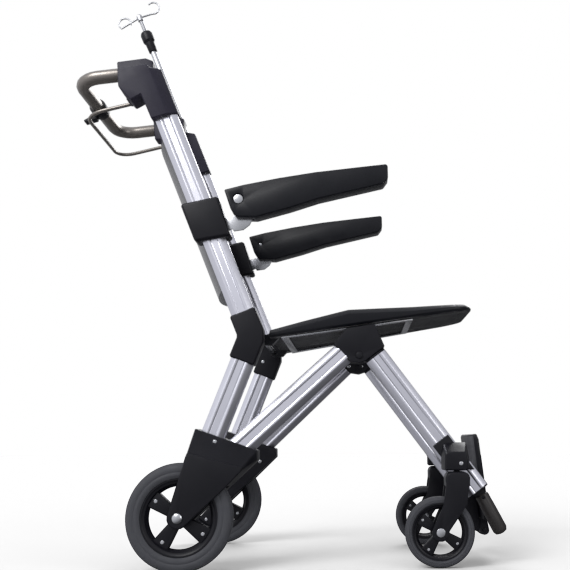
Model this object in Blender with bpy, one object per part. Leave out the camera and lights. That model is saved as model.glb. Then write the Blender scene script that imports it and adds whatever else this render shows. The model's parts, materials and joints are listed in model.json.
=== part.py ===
"""Folding stair chair: a two-wheeled transfer chair with front casters.

Metres, +Z up. The chair faces +X and its left side is +Y. Points in the side view are
(x, z) pairs measured forward of the rear axle and up from the floor. At the end the
whole chair is moved so that the middle of its footprint is the origin.
"""
import math

import bmesh
import bpy
from mathutils import Matrix, Vector

# ---- driving dimensions -------------------------------------------------------------
CLEARANCE = 0.0003          # between touching pieces
RUNNING_GAP = 0.0005        # round a pin that something turns on

WHEEL_RADIUS = 0.100        # rear wheel
WHEEL_WIDTH = 0.030
RIM_RADIUS = 0.0725
AXLE_RADIUS = 0.006

CASTER_RADIUS = 0.0665
CASTER_WIDTH = 0.028
CASTER_RIM_RADIUS = 0.0535
CASTER_TRACK = 0.175
CASTER_TRAIL = 0.035
SWIVEL_X = 0.524
CASTER_AXLE_RADIUS = 0.005
STEM_RADIUS = 0.006

TUBE_DEPTH = 0.046          # frame extrusion, in the side view
TUBE_WIDTH = 0.030
TUBE_WALL = 0.0025
REAR_TRACK = 0.181          # rear legs and uprights
WHEEL_OFFSET = 0.036        # middle of a rear wheel, outside them
FRONT_TRACK = 0.1265        # front legs

KNEE = (0.125, 0.444)       # where the rear leg meets the upright
LEG_LEAN = 20.7             # degrees forward of vertical, going up
BACK_LEAN = 22.0            # degrees back of vertical, going up
HUB = (0.3395, 0.4497)      # where the diagonal meets the front leg
DIAGONAL_ANGLE = 43.2       # degrees below horizontal, going back
FRONT_ANGLE = 53.2          # degrees below horizontal, going forward

UPRIGHT_LENGTH = 0.583      # from the knee
FRONT_LEG_LENGTH = 0.385    # from the hub
SEAT_REAR = 0.155
SEAT_FRONT = 0.573
SEAT_REAR_HEIGHT = 0.446    # underside of the seat at its rear edge
SEAT_SLOPE = 0.1555
SEAT_HALF_WIDTH = 0.155
SEAT_FRONT_HALF_WIDTH = 0.112
SLING_SAG = 0.050
ARMREST_LENGTH = 0.300
ARMREST_THICKNESS = 0.040
FOOTPLATE_HALF_WIDTH = 0.100
PUSH_BAR_RADIUS = 0.014
GRIP_RADIUS = 0.014
POLE_RADIUS = 0.008
ROD_RADIUS = 0.005
ROUND = 24                  # sides of a large round piece
SMALL_ROUND = 12            # sides of a small one

# ---- values that follow from them ----------------------------------------------------
HALF_DEPTH = TUBE_DEPTH / 2
HALF_TUBE = TUBE_WIDTH / 2
WHEEL_TRACK = REAR_TRACK + WHEEL_OFFSET
LEG_UP = Vector((math.sin(math.radians(LEG_LEAN)), math.cos(math.radians(LEG_LEAN))))
BACK_UP = Vector((-math.sin(math.radians(BACK_LEAN)), math.cos(math.radians(BACK_LEAN))))
BACK_FRONT = Vector((BACK_UP.y, -BACK_UP.x))
FRONT_DOWN = Vector((math.cos(math.radians(FRONT_ANGLE)), -math.sin(math.radians(FRONT_ANGLE))))
FRONT_OUT = Vector((-FRONT_DOWN.y, FRONT_DOWN.x))
DIAGONAL_DOWN = Vector((-math.cos(math.radians(DIAGONAL_ANGLE)),
                        -math.sin(math.radians(DIAGONAL_ANGLE))))
DIAGONAL_UPPER = Vector((DIAGONAL_DOWN.y, -DIAGONAL_DOWN.x))
AXLE = (0.0, WHEEL_RADIUS)
CASTER_AXLE = (SWIVEL_X - CASTER_TRAIL, CASTER_RADIUS)
SIDES = (("right", -1), ("left", 1))


def on_back(up, front):
    """Side-view point at a height along the upright and a distance in front of it."""
    return Vector(KNEE) + BACK_UP * up + BACK_FRONT * front


def on_front_leg(down, out=0.0):
    """Side-view point along the front leg, and a distance towards its upper side."""
    return Vector(HUB) + FRONT_DOWN * down + FRONT_OUT * out


def on_diagonal(down, upper=0.0):
    """Side-view point along the diagonal, and a distance towards its upper side."""
    return Vector(HUB) + DIAGONAL_DOWN * down + DIAGONAL_UPPER * upper


def seat_underside(x):
    return SEAT_REAR_HEIGHT + SEAT_SLOPE * (x - SEAT_REAR)


def in_space(point, y):
    return Vector((point[0], y, point[1]))


def arc(centre, radius, start, end, steps):
    """Side-view points on an arc, its angles in degrees from +X towards +Z."""
    angles = [math.radians(start + (end - start) * i / steps) for i in range(steps + 1)]
    return [(centre[0] + radius * math.cos(a), centre[1] + radius * math.sin(a)) for a in angles]


# ---- building blocks -----------------------------------------------------------------
def clear_scene():
    for obj in list(bpy.data.objects):
        bpy.data.objects.remove(obj, do_unlink=True)


def make_finish(name, colour, roughness, metallic):
    finish = bpy.data.materials.new(name)
    finish.use_nodes = True
    shader = finish.node_tree.nodes["Principled BSDF"]
    shader.inputs["Base Color"].default_value = (*colour, 1.0)
    shader.inputs["Roughness"].default_value = roughness
    shader.inputs["Metallic"].default_value = metallic
    finish.diffuse_color = (*colour, 1.0)
    return finish


def make_finishes():
    return {
        "aluminium": make_finish("anodised_aluminium", (0.78, 0.78, 0.80), 0.32, 1.0),
        "steel": make_finish("zinc_plated_steel", (0.62, 0.62, 0.63), 0.30, 1.0),
        "bar": make_finish("satin_bronze_aluminium", (0.40, 0.37, 0.36), 0.35, 1.0),
        "housing": make_finish("grey_black_nylon", (0.045, 0.045, 0.055), 0.55, 0.0),
        "black": make_finish("black_nylon", (0.015, 0.015, 0.018), 0.45, 0.0),
        "tyre": make_finish("grey_tyre", (0.13, 0.13, 0.14), 0.75, 0.0),
        "grip": make_finish("grip_rubber", (0.025, 0.018, 0.016), 0.7, 0.0),
        "fabric": make_finish("sling_fabric", (0.04, 0.04, 0.05), 0.9, 0.0),
    }


def loft(rings):
    """Closed solid through rings of the same number of points, with flat ends."""
    bm = bmesh.new()
    made = [[bm.verts.new(point) for point in ring] for ring in rings]
    for low, high in zip(made, made[1:]):
        for i in range(len(low)):
            j = (i + 1) % len(low)
            bm.faces.new((low[i], low[j], high[j], high[i]))
    bm.faces.new(made[0])
    bm.faces.new(list(reversed(made[-1])))
    bmesh.ops.recalc_face_normals(bm, faces=bm.faces)
    return bm


def prism(outline, near, far):
    """Side-view outline carried from one y to another."""
    return loft([[in_space(p, y) for p in outline] for y in (near, far)])


def bar_frame(start, end):
    """Depth and width directions of a bar whose depth lies in the side view."""
    along = (end - start).normalized()
    depth = along.cross(Vector((0, 1, 0))).normalized()
    return depth, depth.cross(along).normalized()


def tube_section(depth, width):
    """Eight-sided section of the frame extrusion."""
    cut_depth, cut_width = depth * 0.46, width * 0.48
    corners = [(depth, width - cut_width), (depth - cut_depth, width)]
    ring = []
    for sign_d, sign_w, order in ((1, 1, 1), (-1, 1, -1), (-1, -1, 1), (1, -1, -1)):
        ring += [(d * sign_d, w * sign_w) for d, w in corners[::order]]
    return ring


def solid_bar(start, end, section):
    depth, width = bar_frame(start, end)
    rings = [[base + depth * d + width * w for d, w in section] for base in (start, end)]
    return loft(rings)


def hollow_bar(start, end, section, bore):
    depth, width = bar_frame(start, end)
    bm = bmesh.new()
    loops = []
    for ring in (section, bore):
        verts = [bm.verts.new(start + depth * d + width * w) for d, w in ring]
        loops.append(verts)
    for i in range(len(section)):
        j = (i + 1) % len(section)
        bm.faces.new((loops[0][i], loops[0][j], loops[1][j], loops[1][i]))
    made = bmesh.ops.extrude_face_region(bm, geom=bm.faces[:], use_keep_orig=True)
    moved = [item for item in made["geom"] if isinstance(item, bmesh.types.BMVert)]
    bmesh.ops.translate(bm, verts=moved, vec=end - start)
    bmesh.ops.recalc_face_normals(bm, faces=bm.faces)
    return bm


def turned(profile, base, along, sides, closed=False):
    """Profile of (radius, height) pairs turned about a line from base."""
    bm = bmesh.new()
    verts = [bm.verts.new((radius, 0.0, height)) for radius, height in profile]
    edges = [bm.edges.new(pair) for pair in zip(verts, verts[1:])]
    if closed:
        edges.append(bm.edges.new((verts[-1], verts[0])))
    bmesh.ops.spin(bm, geom=verts + edges, axis=(0, 0, 1), cent=(0, 0, 0),
                   angle=math.tau, steps=sides, use_merge=True)
    bmesh.ops.remove_doubles(bm, verts=bm.verts, dist=0.000001)
    bmesh.ops.recalc_face_normals(bm, faces=bm.faces)
    turn = Vector((0, 0, 1)).rotation_difference(Vector(along)).to_matrix().to_4x4()
    bmesh.ops.transform(bm, matrix=Matrix.Translation(base) @ turn, verts=bm.verts)
    return bm


def rod(start, end, radius, sides=SMALL_ROUND):
    length = (end - start).length
    profile = [(0, 0), (radius, 0), (radius, length), (0, length)]
    return turned(profile, start, (end - start).normalized(), sides)


def pin(centre, near, far, radius, sides=SMALL_ROUND):
    """Rod across the chair through a side-view point."""
    return rod(in_space(centre, near), in_space(centre, far), radius, sides)


def soften(bm, width, segments=1, angle=30):
    """Bevel every edge sharper than an angle."""
    sharp = [e for e in bm.edges if e.is_manifold and e.calc_face_angle() > math.radians(angle)]
    bmesh.ops.bevel(bm, geom=sharp, offset=width, segments=segments, profile=0.5,
                    affect="EDGES", material=-1, clamp_overlap=True)
    return bm


def add_piece(name, bm, finish, origin=(0, 0, 0)):
    """New object whose origin is at a given point."""
    bmesh.ops.recalc_face_normals(bm, faces=bm.faces)
    bmesh.ops.translate(bm, verts=bm.verts, vec=-Vector(origin))
    mesh = bpy.data.meshes.new(name)
    bm.to_mesh(mesh)
    bm.free()
    mesh.shade_smooth()
    mesh.set_sharp_from_angle(angle=math.radians(30))
    mesh.materials.append(finish)
    obj = bpy.data.objects.new(name, mesh)
    obj.location = origin
    obj.parent = bpy.data.objects["stair_chair"]
    bpy.context.collection.objects.link(obj)
    return obj


def combine(obj, bm, operation="DIFFERENCE"):
    """Boolean with a hidden helper solid."""
    order = len(obj.modifiers)
    helper = add_piece(f"{obj.name}_helper_{order}", bm, obj.data.materials[0])
    helper.hide_render = True
    helper.display_type = "WIRE"
    change = obj.modifiers.new(f"step_{order}", "BOOLEAN")
    change.operation = operation
    change.solver = "EXACT"
    change.object = helper
    return obj


def bent_path(points, radius, steps=5):
    """Points of a path with its corners rounded."""
    path = [Vector(points[0])]
    for before, corner, after in zip(points, points[1:], points[2:]):
        before, corner, after = Vector(before), Vector(corner), Vector(after)
        inward, outward = (before - corner).normalized(), (after - corner).normalized()
        half = inward.angle(outward) / 2
        reach = radius / math.tan(half)
        middle = corner + (inward + outward).normalized() * radius / math.sin(half)
        first = (corner + inward * reach - middle).normalized()
        last = (corner + outward * reach - middle).normalized()
        for i in range(steps + 1):
            path.append(middle + first.slerp(last, i / steps) * radius)
    path.append(Vector(points[-1]))
    return path


def add_wire(name, path, radius, finish, origin, resolution=2):
    """Round bar along a path, as a curve with filled ends."""
    curve = bpy.data.curves.new(name, "CURVE")
    curve.dimensions = "3D"
    curve.bevel_depth = radius
    curve.bevel_resolution = resolution
    curve.use_fill_caps = True
    spline = curve.splines.new("POLY")
    spline.points.add(len(path) - 1)
    for point, place in zip(spline.points, path):
        point.co = (*(place - Vector(origin)), 1.0)
    curve.materials.append(finish)
    obj = bpy.data.objects.new(name, curve)
    obj.location = origin
    obj.parent = bpy.data.objects["stair_chair"]
    bpy.context.collection.objects.link(obj)
    return obj


def sided(side, near, far):
    return side * near, side * far


# ---- wheels --------------------------------------------------------------------------
def tyre_profile(radius, inner, width):
    """Tyre section with a rounded tread, heights measured from its middle."""
    half, crown = width / 2, radius - inner
    outside = [(inner, 0.80), (inner + crown * 0.22, 1.0), (inner + crown * 0.70, 1.0),
               (inner + crown * 0.94, 0.62), (radius, 0.0)]
    mirrored = [(r, -h) for r, h in reversed(outside[:-1])]
    return [(r, h * half) for r, h in outside + mirrored]


def add_tyre(name, centre, y, radius, inner, width, finish):
    profile = tyre_profile(radius, inner + CLEARANCE, width)
    base = in_space(centre, y)
    add_piece(name, turned(profile, base, (0, 1, 0), ROUND, closed=True), finish, base)


def add_rim(name, centre, y, radius, width, bore, finish):
    """Wheel with a dished web and four windows between its spokes."""
    half, ring, hub = width / 2, radius * 0.82, radius * 0.27
    web, back = half * 0.45, half * 0.80
    profile = [(radius, -half * 0.86), (radius, half * 0.86), (ring, half * 0.86), (ring, web),
               (hub, web), (hub, back), (bore, back), (bore, -back), (hub, -back), (hub, -web),
               (ring, -web), (ring, -half * 0.86)]
    base = in_space(centre, y)
    rim = add_piece(name, turned(profile, base, (0, 1, 0), ROUND, closed=True), finish, base)
    for quarter in range(4):
        middle = quarter * 90 + 11
        outline = arc(centre, radius * 0.70, middle - 33, middle + 33, 5)
        outline += arc(centre, radius * 0.37, middle + 20, middle - 20, 2)
        combine(rim, prism(outline, y - half, y + half))
    return rim


def add_wheels(side_name, side, finish):
    y = side * WHEEL_TRACK
    add_tyre(f"rear_tyre_{side_name}", AXLE, y, WHEEL_RADIUS, RIM_RADIUS, WHEEL_WIDTH,
             finish["tyre"])
    add_rim(f"rear_rim_{side_name}", AXLE, y, RIM_RADIUS, WHEEL_WIDTH,
            AXLE_RADIUS + RUNNING_GAP, finish["black"])
    y = side * CASTER_TRACK
    add_tyre(f"caster_tyre_{side_name}", CASTER_AXLE, y, CASTER_RADIUS, CASTER_RIM_RADIUS,
             CASTER_WIDTH, finish["tyre"])
    add_rim(f"caster_rim_{side_name}", CASTER_AXLE, y, CASTER_RIM_RADIUS, CASTER_WIDTH,
            CASTER_AXLE_RADIUS + RUNNING_GAP, finish["black"])


# ---- rear frame ----------------------------------------------------------------------
FORK_INNER = REAR_TRACK - 0.027     # inner face of the rear housing
SLEEVE_OUTER = REAR_TRACK + 0.022
PLATE_THICKNESS = 0.006
WHEEL_ROOM = 0.003
BOSS_RADIUS = 0.0195
LEG_FOOT = 2 * WHEEL_RADIUS         # the rear leg ends level with the tyre's top
DIAGONAL_LIFT = 2.4 * HALF_DEPTH - 0.0448   # the diagonal's end above it, clear of the leg
REAR_LEG_LENGTH = (KNEE[1] - LEG_FOOT) / LEG_UP.y
DIAGONAL_END = (HUB[1] - LEG_FOOT - DIAGONAL_LIFT) / -DIAGONAL_DOWN.y
HUB_EDGE = 0.052            # from the hub to the diagonal's top end
SLEEVE_WALL = 0.003
KNEE_LOWER = 0.053
KNEE_UPPER = 0.052
KNEE_INSET = 0.012          # from the knee to each tube's end


def diagonal_ends():
    low = in_space(on_diagonal(DIAGONAL_END), REAR_TRACK - 2 * CLEARANCE)
    high = in_space(on_diagonal(HUB_EDGE + CLEARANCE), FRONT_TRACK + 0.002)
    return low, high


def mirror_y(point, side):
    return Vector((point.x, point.y * side, point.z))


def rear_housing_outlines():
    """Full outline of the sleeve, and the smaller one of the plate outside the wheel."""
    boss = arc(AXLE, BOSS_RADIUS, -46, -194, 6)
    foot = Vector(KNEE) - LEG_UP * REAR_LEG_LENGTH
    back = Vector((-LEG_UP.y, LEG_UP.x))
    low_corner = on_diagonal(DIAGONAL_END + 0.0362, -HALF_DEPTH - 0.0190)
    sleeve = [foot + LEG_UP * 0.0561 + back * (HALF_DEPTH + 0.0108),
              on_diagonal(DIAGONAL_END - 0.0483, -HALF_DEPTH - 0.0057),
              on_diagonal(DIAGONAL_END - 0.0360, -HALF_DEPTH - 0.0195), low_corner]
    plate = [foot + LEG_UP * 0.0111 + back * (HALF_DEPTH + 0.0013),
             on_diagonal(DIAGONAL_END - 0.0103, -HALF_DEPTH - 0.0133),
             on_diagonal(DIAGONAL_END - 0.0065, -HALF_DEPTH - 0.0166), low_corner]
    return sleeve + boss, plate + boss


def add_rear_housing(side_name, side, finish):
    """Moulding that holds both rear tubes and straddles the wheel."""
    sleeve, plate = rear_housing_outlines()
    room = WHEEL_WIDTH / 2 + WHEEL_ROOM
    plate_inner = WHEEL_TRACK + room
    plate_outer = plate_inner + PLATE_THICKNESS
    levels = ((sleeve, FORK_INNER), (sleeve, SLEEVE_OUTER), (plate, plate_inner + 0.002),
              (plate, plate_outer))
    rings = [[in_space(p, side * y) for p in outline] for outline, y in levels]
    housing = add_piece(f"rear_housing_{side_name}", soften(loft(rings), 0.0015),
                        finish["housing"])
    slot = sided(side, WHEEL_TRACK - room, plate_inner)
    combine(housing, pin(AXLE, *slot, WHEEL_RADIUS + 2 * WHEEL_ROOM, ROUND))
    fit = tube_section(HALF_DEPTH + CLEARANCE, HALF_TUBE + CLEARANCE)
    leg_end = Vector(KNEE) - LEG_UP * (REAR_LEG_LENGTH + CLEARANCE)
    combine(housing, solid_bar(in_space(leg_end, side * REAR_TRACK),
                               in_space(Vector(KNEE), side * REAR_TRACK), fit))
    low, high = (mirror_y(end, side) for end in diagonal_ends())
    deeper = low + (low - high).normalized() * CLEARANCE
    combine(housing, solid_bar(deeper, high, fit))
    combine(housing, pin(AXLE, *sided(side, FORK_INNER - 0.01, plate_outer + 0.01),
                         AXLE_RADIUS + CLEARANCE))


def add_rear_axle(side_name, side, finish):
    """Through bolt with a domed head outside the fork and a nut inside it."""
    outer = WHEEL_TRACK + WHEEL_WIDTH / 2 + WHEEL_ROOM + PLATE_THICKNESS + CLEARANCE
    inner = FORK_INNER - CLEARANCE
    head = 0.0095
    profile = [(0, inner - 0.005), (head * 0.8, inner - 0.005), (head * 0.8, inner),
               (AXLE_RADIUS, inner), (AXLE_RADIUS, outer), (head, outer),
               (head, outer + 0.002), (head * 0.6, outer + 0.004), (0, outer + 0.0045)]
    base = in_space(AXLE, 0)
    add_piece(f"rear_axle_{side_name}", turned(profile, base, (0, side, 0), SMALL_ROUND),
              finish["steel"])


def add_frame_tubes(side_name, side, finish):
    section = tube_section(HALF_DEPTH, HALF_TUBE)
    bore = tube_section(HALF_DEPTH - TUBE_WALL, HALF_TUBE - TUBE_WALL)
    knee = Vector(KNEE)
    track = side * REAR_TRACK
    ends = {
        "rear_leg": (in_space(knee - LEG_UP * REAR_LEG_LENGTH, track),
                     in_space(knee - LEG_UP * KNEE_INSET, track)),
        "upright": (in_space(on_back(KNEE_INSET, 0), track),
                    in_space(on_back(UPRIGHT_LENGTH, 0), track)),
        "diagonal": tuple(mirror_y(end, side) for end in diagonal_ends()),
    }
    for name, (low, high) in ends.items():
        add_piece(f"{name}_{side_name}", hollow_bar(low, high, section, bore),
                  finish["aluminium"])


def add_knee_sleeve(side_name, side, finish):
    """Elbow that joins the rear leg to the upright."""
    knee, reach = Vector(KNEE), HALF_DEPTH + SLEEVE_WALL
    leg_front = Vector((LEG_UP.y, -LEG_UP.x))
    lower, upper = knee - LEG_UP * KNEE_LOWER, knee + BACK_UP * KNEE_UPPER
    bend = (leg_front + BACK_FRONT).normalized()
    corner = reach / bend.dot(BACK_FRONT)
    front = knee + bend * corner
    outline = [lower + leg_front * reach, front - LEG_UP * 0.014, front + BACK_UP * 0.014,
               upper + BACK_FRONT * reach, upper - BACK_FRONT * reach, knee - bend * corner,
               lower - leg_front * reach]
    half = HALF_TUBE + SLEEVE_WALL
    bm = prism(outline, side * (REAR_TRACK - half), side * (REAR_TRACK + half))
    sleeve = add_piece(f"knee_sleeve_{side_name}", soften(bm, 0.003), finish["black"])
    fit = tube_section(HALF_DEPTH + CLEARANCE, HALF_TUBE + CLEARANCE)
    track = side * REAR_TRACK
    inset = KNEE_INSET - CLEARANCE
    combine(sleeve, solid_bar(in_space(knee - LEG_UP * 0.1, track),
                              in_space(knee - LEG_UP * inset, track), fit))
    combine(sleeve, solid_bar(in_space(on_back(inset, 0), track),
                              in_space(on_back(0.1, 0), track), fit))


# ---- hubs under the seat, and the front fold ------------------------------------------
STRAP_THICKNESS = 0.003
HUB_INNER = 0.1095
HUB_OUTER = 0.1435
FOLD_RADIUS = 0.010         # round the fold pin
FOLD_PIN_RADIUS = 0.005
TONGUE_THICKNESS = 0.013
LEG_TOP = 0.0465            # from the hub to the front leg's top end
FOLD_OFFSET = HALF_DEPTH + SLEEVE_WALL + 0.0002


def fold_centre():
    """Fold pin, as far from the diagonal's axis as from the front leg's."""
    inward = (FRONT_DOWN + DIAGONAL_DOWN).normalized()
    spread = abs(FRONT_DOWN.x * inward.y - FRONT_DOWN.y * inward.x)
    return Vector(HUB) + inward * (FOLD_OFFSET / spread)


def plug_section():
    inside = TUBE_WALL + CLEARANCE
    return tube_section(HALF_DEPTH - inside, HALF_TUBE - inside)


def add_hub(side_name, side, finish):
    """Bracket plugged into the diagonal, with a slot for the front leg's tongue."""
    hub, reach = Vector(HUB), HALF_DEPTH + SLEEVE_WALL
    top = -STRAP_THICKNESS - 3 * CLEARANCE
    rear_top, front_top = hub.x - 0.030, hub.x + 0.028
    front_edge = LEG_TOP - 0.001
    outline = [on_diagonal(HUB_EDGE, reach), Vector((rear_top, seat_underside(rear_top) + top)),
               Vector((front_top, seat_underside(front_top) + top)),
               on_front_leg(front_edge, reach), on_front_leg(front_edge, -reach * 0.92),
               fold_centre() + Vector((0, -0.0155)), on_diagonal(HUB_EDGE, -reach * 0.85)]
    bm = soften(prism(outline, *sided(side, HUB_INNER, HUB_OUTER)), 0.0012)
    bracket = add_piece(f"hub_bracket_{side_name}", bm, finish["black"])
    low, high = (mirror_y(end, side) for end in diagonal_ends())
    along = (low - high).normalized()
    seat = tube_section(HALF_DEPTH + CLEARANCE, HALF_TUBE + 0.002)
    combine(bracket, solid_bar(high - along * CLEARANCE, high + along * 0.05, seat))
    combine(bracket, solid_bar(high + along * 0.035, high - along * 0.012, plug_section()),
            "UNION")
    room = TONGUE_THICKNESS / 2 + CLEARANCE * 2
    pivot = fold_centre()
    edge = FOLD_RADIUS + 3 * RUNNING_GAP
    slot = arc(pivot, edge, 80, 190, 5)
    slot += [pivot + Vector((-0.05, -0.045)), pivot + Vector((0.0, -0.08)),
             pivot + Vector((0.09, -0.06)),
             on_front_leg(LEG_TOP, 0.060), on_front_leg(LEG_TOP - 0.010, HALF_DEPTH + 0.0005)]
    combine(bracket, prism(slot, *sided(side, FRONT_TRACK - room, FRONT_TRACK + room)))
    combine(bracket, pin(pivot, *sided(side, 0.09, 0.16), FOLD_PIN_RADIUS + CLEARANCE))


def add_fold_pin(side_name, side, finish):
    inner, outer = HUB_INNER - CLEARANCE, HUB_OUTER + CLEARANCE
    head = FOLD_PIN_RADIUS * 1.5
    profile = [(0, inner - 0.003), (head, inner - 0.003), (head, inner),
               (FOLD_PIN_RADIUS, inner), (FOLD_PIN_RADIUS, outer), (head, outer),
               (head * 0.9, outer + 0.003), (0, outer + 0.003)]
    add_piece(f"fold_pin_{side_name}",
              turned(profile, in_space(fold_centre(), 0), (0, side, 0), SMALL_ROUND),
              finish["black"])


def add_hub_crossbeam(finish):
    """Beam between the two hubs, under the seat."""
    hub = Vector(HUB)
    top = -STRAP_THICKNESS - 4 * CLEARANCE
    rear, front, depth = hub.x - 0.026, hub.x + 0.024, 0.034
    outline = [(rear, seat_underside(rear) + top), (front, seat_underside(front) + top),
               (front, seat_underside(front) + top - depth),
               (rear, seat_underside(rear) + top - depth)]
    end = HUB_INNER - CLEARANCE
    add_piece("hub_crossbeam", soften(prism(outline, -end, end), 0.003), finish["black"])


def add_leg_knuckle(side_name, side, finish, pivot):
    """Tongue that turns on the fold pin, and the plug it has in the front leg."""
    reach = HALF_DEPTH - 0.0015
    outline = arc(fold_centre(), FOLD_RADIUS, 130, 270, 6)
    outline += [on_front_leg(LEG_TOP + 0.002, -reach), on_front_leg(LEG_TOP + 0.002, reach),
                on_front_leg(LEG_TOP - 0.006, reach)]
    half = TONGUE_THICKNESS / 2
    bm = prism(outline, *sided(side, FRONT_TRACK - half, FRONT_TRACK + half))
    knuckle = add_piece(f"leg_knuckle_{side_name}", bm, finish["black"], pivot)
    track = side * FRONT_TRACK
    cap = tube_section(HALF_DEPTH - 0.0005, HALF_TUBE - 0.0005)
    combine(knuckle, solid_bar(in_space(on_front_leg(LEG_TOP), track),
                               in_space(on_front_leg(LEG_TOP + 0.004), track), cap), "UNION")
    combine(knuckle, solid_bar(in_space(on_front_leg(LEG_TOP + 0.002), track),
                               in_space(on_front_leg(LEG_TOP + 0.040), track),
                               plug_section()), "UNION")
    combine(knuckle, pin(fold_centre(), *sided(side, 0.09, 0.16), FOLD_PIN_RADIUS + RUNNING_GAP))


def add_front_leg(side_name, side, finish, pivot):
    track = side * FRONT_TRACK
    section = tube_section(HALF_DEPTH, HALF_TUBE)
    bore = tube_section(HALF_DEPTH - TUBE_WALL, HALF_TUBE - TUBE_WALL)
    high = in_space(on_front_leg(LEG_TOP + 0.004 + CLEARANCE), track)
    low = in_space(on_front_leg(FRONT_LEG_LENGTH), track)
    add_piece(f"front_leg_{side_name}", hollow_bar(high, low, section, bore),
              finish["aluminium"], pivot)


# ---- back: housings, push bar, release bail, sling --------------------------------------
HEAD = on_back(UPRIGHT_LENGTH, 0)   # the upright's top end
HOUSING_INNER = REAR_TRACK - 0.025
HOUSING_OUTER = REAR_TRACK + 0.025
BAR_TRACK = REAR_TRACK - 0.031      # arms of the push bar
BAR_ENTRY = HEAD + Vector((-0.0266, 0.0276))
BAR_CROSS = HEAD + Vector((-0.1636, 0.0109))
BAR_BEND = 0.045
BOSS_INNER = REAR_TRACK - 0.0485
BAIL_PIVOT = HEAD + Vector((-0.0416, -0.0285))
BAIL_CROSS = HEAD + Vector((-0.1526, -0.0565))
BAIL_TRACK = REAR_TRACK - 0.055
BAIL_RADIUS = 0.004
SLING_BOTTOM = 0.128        # along the upright, from the knee
SLING_TOP = UPRIGHT_LENGTH - 0.101
SLING_THICKNESS = 0.0025
POLE_FRONT = 0.004          # the drip pole's axis in front of the upright's


def add_top_housing(side_name, side, finish):
    """Cap on the upright, which holds one arm of the push bar and one end of the bail."""
    face = HALF_DEPTH + 0.0035
    lines = [(0.032, -0.055), (0.021, 0.004), (0.007, face), (-0.097, face),
             (-0.094, -face - 0.001), (-0.0374, -face - 0.0025), (-0.041, -0.053),
             (-0.004, -0.066)]
    full = [on_back(UPRIGHT_LENGTH + up, front) for up, front in lines]
    outer = [on_back(UPRIGHT_LENGTH + up, min(front, 0.006)) for up, front in lines]
    levels = ((full, HOUSING_INNER), (full, REAR_TRACK + 0.009), (outer, HOUSING_OUTER))
    rings = [[in_space(p, side * y) for p in outline] for outline, y in levels]
    housing = add_piece(f"top_housing_{side_name}", soften(loft(rings), 0.002), finish["housing"])
    boss = [(-0.0764, 0.0436), (-0.0171, 0.0520), (-0.0006, 0.0455), (-0.0026, -0.0045),
            (-0.0246, -0.0085), (-0.0304, -0.0409), (-0.0533, -0.0409), (-0.0566, -0.0085),
            (-0.0706, -0.0085)]
    bm = prism([HEAD + Vector(p) for p in boss], *sided(side, BOSS_INNER, REAR_TRACK - 0.0135))
    combine(housing, soften(bm, 0.002), "UNION")
    fit = tube_section(HALF_DEPTH + CLEARANCE, HALF_TUBE + CLEARANCE)
    track = side * REAR_TRACK
    combine(housing, solid_bar(in_space(on_back(UPRIGHT_LENGTH - 0.13, 0), track),
                               in_space(on_back(UPRIGHT_LENGTH + CLEARANCE, 0), track), fit))
    pocket_end = BAR_ENTRY + (BAR_ENTRY - BAR_CROSS).normalized() * CLEARANCE
    combine(housing, rod(in_space(BAR_CROSS, side * BAR_TRACK),
                         in_space(pocket_end, side * BAR_TRACK),
                         PUSH_BAR_RADIUS + CLEARANCE, 24))
    combine(housing, pin(BAIL_PIVOT, *sided(side, BOSS_INNER - 0.01, BAR_TRACK + 0.0025),
                         BAIL_RADIUS + RUNNING_GAP))
    if side > 0:
        combine(housing, rod(in_space(on_back(UPRIGHT_LENGTH - 0.02, POLE_FRONT), track),
                             in_space(on_back(UPRIGHT_LENGTH + 0.12, POLE_FRONT), track),
                             POLE_RADIUS + RUNNING_GAP))
    return housing


def add_push_bar(finish):
    corners = [in_space(BAR_ENTRY, -BAR_TRACK), in_space(BAR_CROSS, -BAR_TRACK),
               in_space(BAR_CROSS, BAR_TRACK), in_space(BAR_ENTRY, BAR_TRACK)]
    add_wire("push_bar", bent_path(corners, BAR_BEND, 6), PUSH_BAR_RADIUS, finish["bar"],
             (0, 0, 0), 4)


def add_release_bail(finish):
    """Sprung wire loop under the push bar: its ends turn in the two top housings."""
    end, arm = BAR_TRACK, BAIL_TRACK
    corners = [in_space(BAIL_PIVOT, -end), in_space(BAIL_PIVOT, -arm),
               in_space(BAIL_CROSS, -arm), in_space(BAIL_CROSS, arm),
               in_space(BAIL_PIVOT, arm), in_space(BAIL_PIVOT, end)]
    first = bent_path(corners[:3], 0.006, 3)[:-1]
    middle = bent_path(corners[1:5], 0.038, 6)[1:-1]
    last = bent_path(corners[3:], 0.006, 3)[1:]
    add_wire("release_bail", first + middle + last, BAIL_RADIUS, finish["bar"],
             in_space(BAIL_PIVOT, 0))


def add_lever_clamp(finish):
    """Collar on the push bar with a short thumb lever, fixed to the bar."""
    base = in_space(BAR_CROSS, -0.016)
    inner, outer, width = PUSH_BAR_RADIUS + CLEARANCE, 0.0185, 0.032
    ring = [(inner, 0), (outer, 0), (outer, width), (inner, width)]
    clamp = add_piece("lever_clamp", turned(ring, base, (0, 1, 0), 24, closed=True),
                      finish["black"])
    x, z = BAR_CROSS
    lever = [(x - 0.004, z - 0.0160), (x - 0.004, z - 0.0260), (x - 0.030, z - 0.0345),
             (x - 0.033, z - 0.0290), (x - 0.017, z - 0.0190), (x - 0.013, z - 0.0120)]
    combine(clamp, soften(prism(lever, -0.009, 0.009), 0.001), "UNION")


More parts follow.
